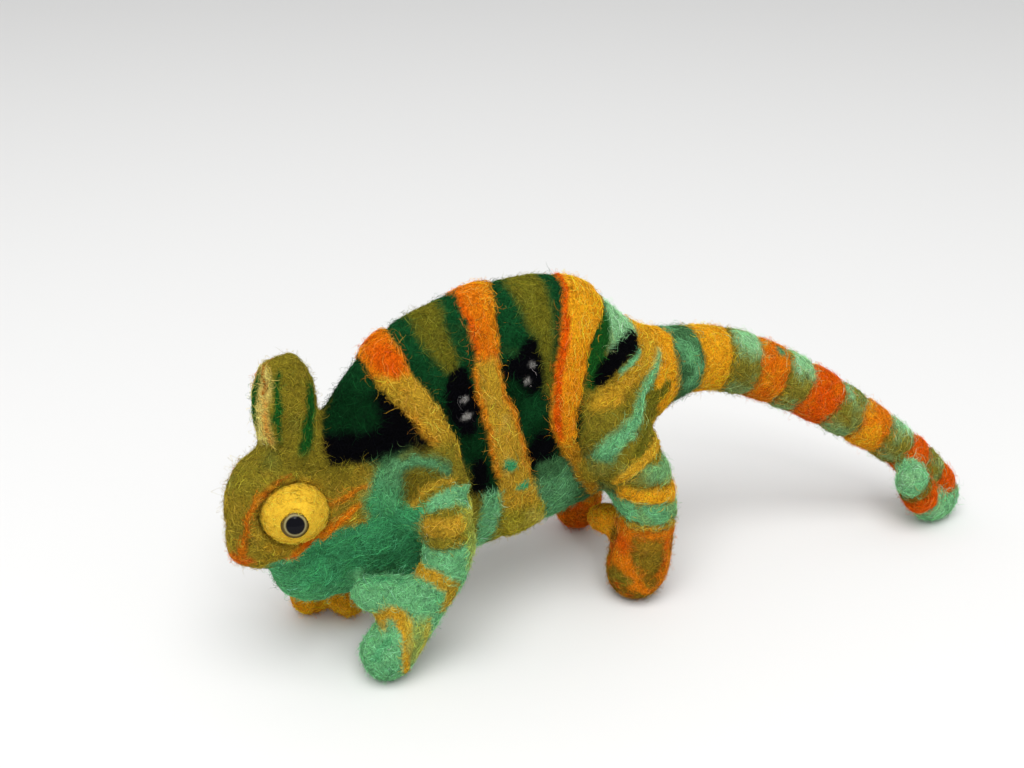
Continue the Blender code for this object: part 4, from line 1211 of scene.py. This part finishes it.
# %% Pieces and areas
piece_of = part.copy().astype("<U24")
for near, word in ((y < 0, "left"), (y >= 0, "right")):
    for low, high, end in ((-60, -8, "front"), (-8, 16, "middle"), (16, 60, "rear")):
        piece_of[(part == "trunk") & near & (x >= low) & (x < high)] = f"trunk_{word}_{end}"
piece_of[(part == "tail") & (tail_run > 44.5)] = "tail_curl"

corner_area = np.zeros(count)
a, b, c = (spots[triangles[:, k]] for k in range(3))
face_area = np.linalg.norm(np.cross(b - a, c - a), axis=1) / 2
for k in range(3):
    np.add.at(corner_area, triangles[:, k], face_area / 3)
print("skin area, cm2:", round(float(corner_area.sum()) / 100, 1))

# %% [markdown]
# One table says how thick, long and fine the coat is on each kind of part.

# %% Coat table
COAT = {
    # strands on each square mm, length mm, girth mm (half its thickness), how far colours stray mm
    "trunk": (1.24, 5.0, 0.046, 0.5),
    "head": (1.62, 3.6, 0.042, 0.5),
    "casque": (1.62, 3.4, 0.042, 0.4),
    "throat": (1.45, 4.4, 0.044, 0.5),
    "tail": (1.4, 4.4, 0.044, 1.0),
    "leg": (1.4, 4.0, 0.044, 0.7),
    "foot": (1.68, 3.0, 0.042, 0.7),
}
kind = np.where(np.char.find(part, "leg") >= 0, "leg", part)
kind[(kind == "leg") & (z < 19)] = "foot"
coat_row = [list(COAT).index(k) for k in kind]
density, length_at, girth_at, mixing = np.array(list(COAT.values()))[coat_row].T
for name, (strands, long, girth, _) in COAT.items():
    print(name, strands, "lying fibres on each mm2,", long, "mm long,", round(girth * 2, 3), "mm thick")

# %% [markdown]
# No two fibres are alike. A fibre lies, rises or bends into a loop, and its six points take their heights
# from one of three rows. Its shade varies too, with a few bleached, and a few dark ones that are painted
# shade for the shadowed pits between the strands.

# %% Chance in the coat
FUZZ = 1.14  # short standing fibres for each lying one
FUZZ_LENGTH, FUZZ_GIRTH = 0.58, 0.60  # shares of a lying fibre's
HUE_JITTER = 0.06
# The dark fibres are painted shade: they stand for the shadowed pits between the strands.
PALE_SHARE, SHADOW_FIBRE_SHARE, SHADOW_FIBRE_DARKNESS = 0.16, 0.14, 0.38  # how many fibres are bleached or dark, and how dark
# Heights of a strand's six points, as shares of its own height: flat, standing, or bent into a loop.
LYING = np.array([-0.10, 0.45, 0.95, 1.0, 0.5, -0.10])
RISING = np.array([-0.06, 0.10, 0.32, 0.58, 0.82, 1.0])
LOOPING = np.array([-0.06, 0.50, 0.95, 1.0, 0.60, 0.0])
FIBRE_LIGHT = 1.22  # fibres on top catch more light than the mat below


def fibre_colours(base):
    """Each strand's own shade: the dye times a random brightness; about a sixth are bleached, lighter and
    greyer, and about a seventh are dark, as painted shade for the shadowed pits between the strands."""
    shade = FIBRE_LIGHT * np.exp(CHANCE.normal(0, 0.30, (len(base), 1)))
    tinted = base * shade * (1 + CHANCE.normal(0, HUE_JITTER, base.shape))
    pale = CHANCE.random((len(base), 1)) < PALE_SHARE
    # Painted shade: these dark fibres stand for the shadow in the pits between strands.
    painted_shadow = np.where(CHANCE.random((len(base), 1)) < SHADOW_FIBRE_SHARE, SHADOW_FIBRE_DARKNESS, 1.0)
    bleached = tinted * 1.4 + base.max(axis=1, keepdims=True) * 0.07
    return np.clip(np.where(pale, bleached, tinted * painted_shadow), 0.001, 0.95)


def lying_heights(number, low):
    """Heights of a flat strand's six points: an arch over a random layer, its ends tucked under."""
    return LYING[:, None] * (CHANCE.uniform(0.04, 0.28, number) + low) - 0.02


def fuzz_heights(number, tall):
    """Heights of a standing strand's six points: half rise to an end, half loop back; few stand high."""
    rise = np.minimum(0.35 + CHANCE.exponential(0.38, number), 1.9)
    rise *= np.where(CHANCE.random(number) < 0.04, 1.8, 1.0)
    return np.where(CHANCE.random(number) < 0.5, RISING[:, None], LOOPING[:, None] * 0.8) * rise * tall


# %% [markdown]
# Every part gets two layers: lying fibres, then short ones that stand. A fibre takes its dye from a spot a
# little way off its root, so that the colours run into each other at their borders as real wool's do.

# %% Growing the coat
skin = (spots, outward, skin_cells)
total = 0
for name in sorted(set(piece_of)):
    where = np.flatnonzero(piece_of == name)
    weight = corner_area[where] * density[where]
    patches = np.column_stack([fitted(unrolled[where, 0]), fitted(unrolled[where, 1])])
    for layer, share, ringed in (("coat", 1.0, LONG_RINGS), ("fuzz", FUZZ, SHORT_RINGS)):
        number = int(weight.sum() * share)
        roots = CHANCE.choice(where, number, p=weight / weight.sum())
        long = layer == "coat"
        lengths = length_at[roots] * reach[roots] * CHANCE.uniform(0.6, 1.35, number)
        lengths *= 1.0 if long else FUZZ_LENGTH
        if long:
            heights, stray, bend = lying_heights(number, 0.08 * on_top[roots]), spread[roots], 0.40
        else:
            heights = fuzz_heights(number, tall[roots] * np.minimum(1, reach[roots] * 1.4))
            stray, bend = spread[roots] + 0.6, 0.6
        girth = girth_at[roots] * CHANCE.uniform(0.8, 1.15, number) * (1.0 if long else FUZZ_GIRTH)
        corners = grown(roots, skin, lie[roots], stray, lengths, girth, heights, bend, ringed)
        strayed = mixing[roots] * np.minimum(1, reach[roots] * 1.2)
        moved = spots[roots] + CHANCE.normal(0, 1, (number, 3)) * strayed[:, None]
        source = drop_on(moved, roots, skin_cells, spots, outward)[1]
        patch_at = patches[np.searchsorted(where, roots)]
        mesh = fibre_mesh(f"{layer}_{name}", corners, fibre_colours(dye[source]), patch_at)
        placed(f"{layer}_{name}", mesh, loose_wool, "forest_wool")
        total += len(mesh.polygons)
        print(f"{layer}_{name}", number, "fibres,", len(mesh.polygons), "triangles")
print("coat triangles:", total)

# %% [markdown]
# ## Eye turrets
#
# A chameleon's eye looks out of a cone of skin. Here each is a pad of yellow wool, felted hard and small,
# with its fibres wound round the eye. It is melted from its own solid, and coated as the body is.

# %% Felting a turret
TURRET_VOXEL = 0.35
TURRET_SMOOTHING = 6
TURRET_SHADE = 0.95
LIP_END, LIP_SOFT, LIP_BACK = 4.9, 1.3, -2.6  # mm from the line of sight; mm; mm along it
LIP_IN, LIP_UP = 0.85, 0.95  # mm: the felt is drawn in and up over the rim of the glass
EDGE_START, EDGE_SOFT = 7.0, 2.2  # mm from the line of sight, where yellow turns to gold


def felted_turret(side):
    """A turret's felt: noise moves each corner along the way it faces, and within the lip it moves in to the
    line of sight and up along it. Gives the mesh, its dye, and each corner's place along and off that line."""
    node = f"{side}_eye_turret"
    base, facing, faces = read_mesh(melted(node + "_felt", [node], TURRET_VOXEL, TURRET_SMOOTHING, 0.0))
    _, middle, gaze = sight(side)
    ahead = (base - middle) @ gaze
    sideways = base - middle - ahead[:, None] * gaze
    off_axis = np.linalg.norm(sideways, axis=1)
    lip = eased((LIP_END - off_axis) / LIP_SOFT) * (ahead > LIP_BACK)
    low_skin = base + facing * ((0.08 * mottle(base, 1.8, 2) - 0.12) * (1 - lip))[:, None]
    low_skin += gaze * (LIP_UP * lip)[:, None] - unit(sideways) * (LIP_IN * lip)[:, None]
    edge = eased((off_axis - EDGE_START) / EDGE_SOFT)
    shade = 1 + 0.10 * mottle(base, 2.4, 9) + 0.03 * mottle(base, 0.7, 4)
    colours = np.array(WOOL["yellow"]) * shade[:, None]
    colours += (np.array(WOOL["gold"]) - colours) * (0.8 * edge * eased(mottle(base, 2.0, 6) + 0.7))[:, None]
    felt_mesh = mesh_from(node + "_felt", low_skin, faces)
    dyed(felt_mesh, colours * TURRET_SHADE)
    placed(node + "_felt", felt_mesh, tight_wool, "yellow_wool", node)
    return felt_mesh, colours, ahead, off_axis, edge


# %% [markdown]
# The turret's coat is grown as the body's is, but finer and shorter, and wound round the line of sight. Near
# the edge a few strands of olive and orange creep in from the face.

# %% Growing the turrets' coats
# Fibres on each square mm, their length in mm, and half their thickness in mm.
TURRET_DENSITY, TURRET_LENGTH, TURRET_GIRTH = 2.2, 2.0, 0.034
TURRET_STRAY = 1.2
OPEN_BACK, OPEN_IN = -7.5, 3.3  # mm: fibres grow on the pad in front of this, and outside the glass

for side in ("left", "right"):
    node = f"{side}_eye_turret"
    felt_mesh, colours, ahead, off_axis, edge = felted_turret(side)
    low_skin, facing, _ = read_mesh(felt_mesh)
    _, middle, gaze = sight(side)
    wound = unit(np.cross(facing, gaze))
    turret_skin = (low_skin, facing, cells_of(low_skin))
    open_skin = np.flatnonzero((ahead > OPEN_BACK) & (off_axis > OPEN_IN))
    clock = np.arctan2(low_skin[:, 0] - middle[0], low_skin[:, 2] - middle[2])
    patches = np.column_stack([fitted(clock), fitted(off_axis)])
    for layer, share, ringed in (("coat", 1.0, LONG_RINGS), ("fuzz", 0.9, SHORT_RINGS)):
        strands = int(len(open_skin) * TURRET_VOXEL**2 * TURRET_DENSITY * share)
        roots = CHANCE.choice(open_skin, strands)
        long = layer == "coat"
        heights = lying_heights(strands, -0.03) if long else fuzz_heights(strands, 0.5 + 0.7 * edge[roots])
        lengths = TURRET_LENGTH * CHANCE.uniform(0.5, 1.3, strands) * (1 if long else 0.6)
        girth = TURRET_GIRTH * CHANCE.uniform(0.8, 1.15, strands) * (1 if long else 0.55)
        stray = np.full(strands, TURRET_STRAY)
        corners = grown(roots, turret_skin, wound[roots], stray, lengths, girth, heights, 0.5, ringed)
        other = CHANCE.random((strands, 1)) < 0.05 + 0.35 * edge[roots][:, None]
        blend = np.where(other, np.array(WOOL["olive" if long else "orange"]), colours[roots])
        fibres = fibre_mesh(f"{node}_{layer}", corners, fibre_colours(blend) * TURRET_SHADE, patches[roots])
        placed(f"{node}_{layer}", fibres, loose_wool, "yellow_wool")
    print(node, len(low_skin), "corners,", len(open_skin), "of them open, gaze", gaze.round(2))

# %% [markdown]
# ## Glass eyes
#
# Bought glass eyes for soft toys are low domes of clear glass, painted on the back: a black pupil and a pale
# ring. Round the ring a dark rim is painted shade, for the shadow where the felt meets the glass. The paint is
# seen as if it lay just under the polish, so a single dome with painted rings under a clear coat gives the
# look. Its shape is a profile turned round the line of sight.

# %% Painted glass
EYE_STEPS = 48
PUPIL, RING_END = 0.63, 0.80  # shares of the eye's radius


def eye_material():
    """Painted rings by the stored share of the radius, under a polished clear coat."""
    material = bpy.data.materials.new("painted_glass")
    material.use_nodes = True
    nodes, links = material.node_tree.nodes, material.node_tree.links
    shader = nodes["Principled BSDF"]
    dial(shader, Roughness=0.35, Specular_IOR_Level=0.0, Coat_Weight=0.22, Coat_Roughness=0.02, Coat_IOR=1.52)
    share = nodes.new("ShaderNodeAttribute")
    share.attribute_name = "ring"
    place = nodes.new("ShaderNodeTexCoord")
    brush = nodes.new("ShaderNodeTexNoise")
    dial(brush, Scale=2200, Detail=2)
    waver = nodes.new("ShaderNodeMath")
    waver.operation = "MULTIPLY_ADD"
    waver.inputs[1].default_value = 0.05
    ramp = nodes.new("ShaderNodeValToRGB")
    stops = (
        (0.0, (0.002, 0.002, 0.004)), (PUPIL, (0.002, 0.002, 0.004)),
        (PUPIL + 0.04, (0.10, 0.080, 0.030)), (0.73, (0.29, 0.25, 0.12)),
        # The last stop is painted shade: a dark rim for the shadow where the felt meets the glass.
        (RING_END, (0.17, 0.13, 0.035)), (RING_END + 0.06, (0.08, 0.05, 0.008)),
    )
    while len(ramp.color_ramp.elements) < len(stops):
        ramp.color_ramp.elements.new(0.5)
    for element, (at, colour) in zip(ramp.color_ramp.elements, stops):
        element.position, element.color = at, (*colour, 1)
    links.new(place.outputs["Object"], brush.inputs["Vector"])
    links.new(brush.outputs["Fac"], waver.inputs[0])
    links.new(share.outputs["Fac"], waver.inputs[2])
    links.new(waver.outputs["Value"], ramp.inputs["Fac"])
    links.new(ramp.outputs["Color"], shader.inputs["Base Color"])
    return material


painted_glass = eye_material()
print("pupil and ring end at", PUPIL, "and", RING_END, "of the radius")

# %% [markdown]
# A turned shape is a grid: one row for each corner of the profile, one column for each step of the turn. Fans
# of triangles close the front and the back, so that the dome is a closed shell.

# %% Turning a profile
DOME, SINK = 1.7, 1.6  # mm above and below the rim
ARC_STEPS = 13


def dome_profile(radius):
    """Radii and levels from the front pole to the back one: a quarter ellipse, radius sin a and DOME cos a,
    then a short wall, a narrow bevel and a flat back."""
    sweep = np.linspace(0, math.pi / 2, ARC_STEPS)
    radii = np.concatenate([np.sin(sweep), [1.0, 0.96, 0.5, 0.0]]) * radius
    levels = np.concatenate([np.cos(sweep) * DOME, [-0.5, -SINK + 0.1, -SINK, -SINK]])
    return radii, levels


def turned(radii, levels, centre, way):
    """A profile turned round way: centre plus radius times (cos t across + sin t up) plus level times way."""
    level_way = unit(np.cross(way, [0.0, 0.0, 1.0]))
    up_way = np.cross(level_way, way)
    turn = np.linspace(0, 2 * math.pi, EYE_STEPS, endpoint=False)
    circle = np.cos(turn)[:, None] * level_way + np.sin(turn)[:, None] * up_way
    grid = centre + radii[1:-1, None, None] * circle + levels[1:-1, None, None] * way
    corners = np.vstack([grid.reshape(-1, 3), centre + way * levels[0], centre + way * levels[-1]])
    rows = len(radii) - 2
    i, j = np.meshgrid(np.arange(rows - 1), np.arange(EYE_STEPS), indexing="ij")
    right = (j + 1) % EYE_STEPS
    square = ((i, j), (i + 1, j), (i + 1, right), (i, right))
    a, b, c, d = [(row * EYE_STEPS + column).ravel() for row, column in square]
    here = np.arange(EYE_STEPS)
    after = (here + 1) % EYE_STEPS
    front, back = np.full(EYE_STEPS, rows * EYE_STEPS), np.full(EYE_STEPS, rows * EYE_STEPS + 1)
    last = (rows - 1) * EYE_STEPS
    triples = ((a, b, c), (a, c, d), (front, here, after), (back, last + after, last + here))
    return corners, np.vstack([np.column_stack(triple) for triple in triples])


print("profile of a 3 mm dome:", dome_profile(3.0)[0].round(2))

# %% [markdown]
# Each corner of a dome stores its share of the radius, which the material reads to know which painted ring it
# is in. The wall and the back take the rim's paint.

# %% The two glass eyes
for side in ("left", "right"):
    node = f"{side}_glass_eye"
    eye, middle, gaze = sight(side)
    depth = (eye - middle) @ gaze
    off = eye - middle - depth[:, None] * gaze
    middle = middle + (off.max(0) + off.min(0)) / 2
    radius = float(np.linalg.norm(off, axis=1).max())
    radii, levels = dome_profile(radius)
    corners, faces = turned(radii, levels, middle + gaze * (depth.max() - DOME), gaze)
    mesh = mesh_from(node + "_dome", corners, faces)
    shares = np.concatenate([np.repeat(radii[1:-1] / radius, EYE_STEPS), [0.0, 0.0]])
    shares[(ARC_STEPS - 1) * EYE_STEPS:] = 1.0
    shares[-2] = 0.0  # the front pole
    ring = mesh.attributes.new("ring", "FLOAT", "POINT")
    ring.data.foreach_set("value", shares.astype(np.float32))
    placed(node + "_dome", mesh, painted_glass, "eye_glass", node)
    print(node, "radius", round(radius, 2), "mm, gaze", gaze.round(2))

# %% [markdown]
# ## Table, light and camera
#
# The figurine stands on a plain pale table. It is there to be seen and to take the shadow, and is no part
# of the figurine.

# %% Table
FLOOR_RADIUS = 2.4
bpy.ops.mesh.primitive_circle_add(vertices=96, radius=FLOOR_RADIUS, fill_type="NGON")
floor = bpy.context.object
floor.name = "table"
pale = bpy.data.materials.new("pale_table")
pale.use_nodes = True
dial(pale.node_tree.nodes["Principled BSDF"], Base_Color=(0.75, 0.75, 0.745, 1), Roughness=0.7,
     Specular_IOR_Level=0.2)
floor.data.materials.append(pale)
print("table radius, m:", FLOOR_RADIUS)

# %% [markdown]
# One large soft lamp hangs overhead, a little towards the viewer, and pale light comes from all round. A big
# lamp gives the soft pool of shade under the belly that lets wool look soft. A second lamp, small and weak,
# is there for the spark on the glass eye.

# %% Light
LAMP_AIM, LAMP_WAY = (20, 0, 30), (-0.28, -0.40, 1.0)  # mm on the body; the way from there to the lamp
LAMP_AWAY, LAMP_SIZE, LAMP_POWER = 1.1, 0.95, 11.6  # m, m, W
SPARK_AIM, SPARK_WAY = (-53, -20, 40), (-0.17, -0.74, 0.65)
SPARK_AWAY, SPARK_SIZE, SPARK_POWER = 0.9, 0.07, 0.5
WORLD_LIGHT = 0.66


def square_lamp(name, aim, way, away, size, power):
    """A square lamp that faces aim: it hangs there plus away metres along way, and looks back."""
    way = Vector(unit(np.array(way)))
    data = bpy.data.lights.new(name, "AREA")
    data.shape, data.size, data.energy = "SQUARE", size, power
    lamp = bpy.data.objects.new(name, data)
    bpy.context.scene.collection.objects.link(lamp)
    lamp.location = Vector(to_frame(aim)) + way * away
    lamp.rotation_mode = "QUATERNION"
    lamp.rotation_quaternion = way.to_track_quat("Z", "Y")
    return lamp


overhead = square_lamp("overhead", LAMP_AIM, LAMP_WAY, LAMP_AWAY, LAMP_SIZE, LAMP_POWER)
catchlight = square_lamp("catchlight", SPARK_AIM, SPARK_WAY, SPARK_AWAY, SPARK_SIZE, SPARK_POWER)
world = bpy.data.worlds.new("studio")
world.use_nodes = True
dial(world.node_tree.nodes["Background"], Color=(1.0, 1.0, 1.0, 1), Strength=WORLD_LIGHT)
bpy.context.scene.world = world
bpy.context.scene.view_settings.view_transform = "Standard"
print("lamps hang at, m:", overhead.location.to_tuple(2), "and", catchlight.location.to_tuple(2))

# %% [markdown]
# The camera looks at the near side from a little in front of it and from above.

# %% Camera
CAMERA_AT = (-138.88, -253.52, 191.0)  # mm on the body
CAMERA_TURN, CAMERA_DOWN = math.radians(30), math.radians(25)
SENSOR_WIDTH, LENS = 36.0, 49.45  # mm
camera_data = bpy.data.cameras.new("camera")
camera_data.sensor_width, camera_data.lens = SENSOR_WIDTH, LENS
camera_data.clip_start = 0.01
camera = bpy.data.objects.new("camera", camera_data)
bpy.context.scene.collection.objects.link(camera)
camera.location = to_frame(CAMERA_AT)
level = math.cos(CAMERA_DOWN)
looking = Vector((math.sin(CAMERA_TURN) * level, math.cos(CAMERA_TURN) * level, -math.sin(CAMERA_DOWN)))
camera.rotation_mode = "QUATERNION"
camera.rotation_quaternion = looking.to_track_quat("-Z", "Y")
bpy.context.scene.camera = camera
print("camera at, m:", camera.location.to_tuple(3), "looking", looking.to_tuple(3))
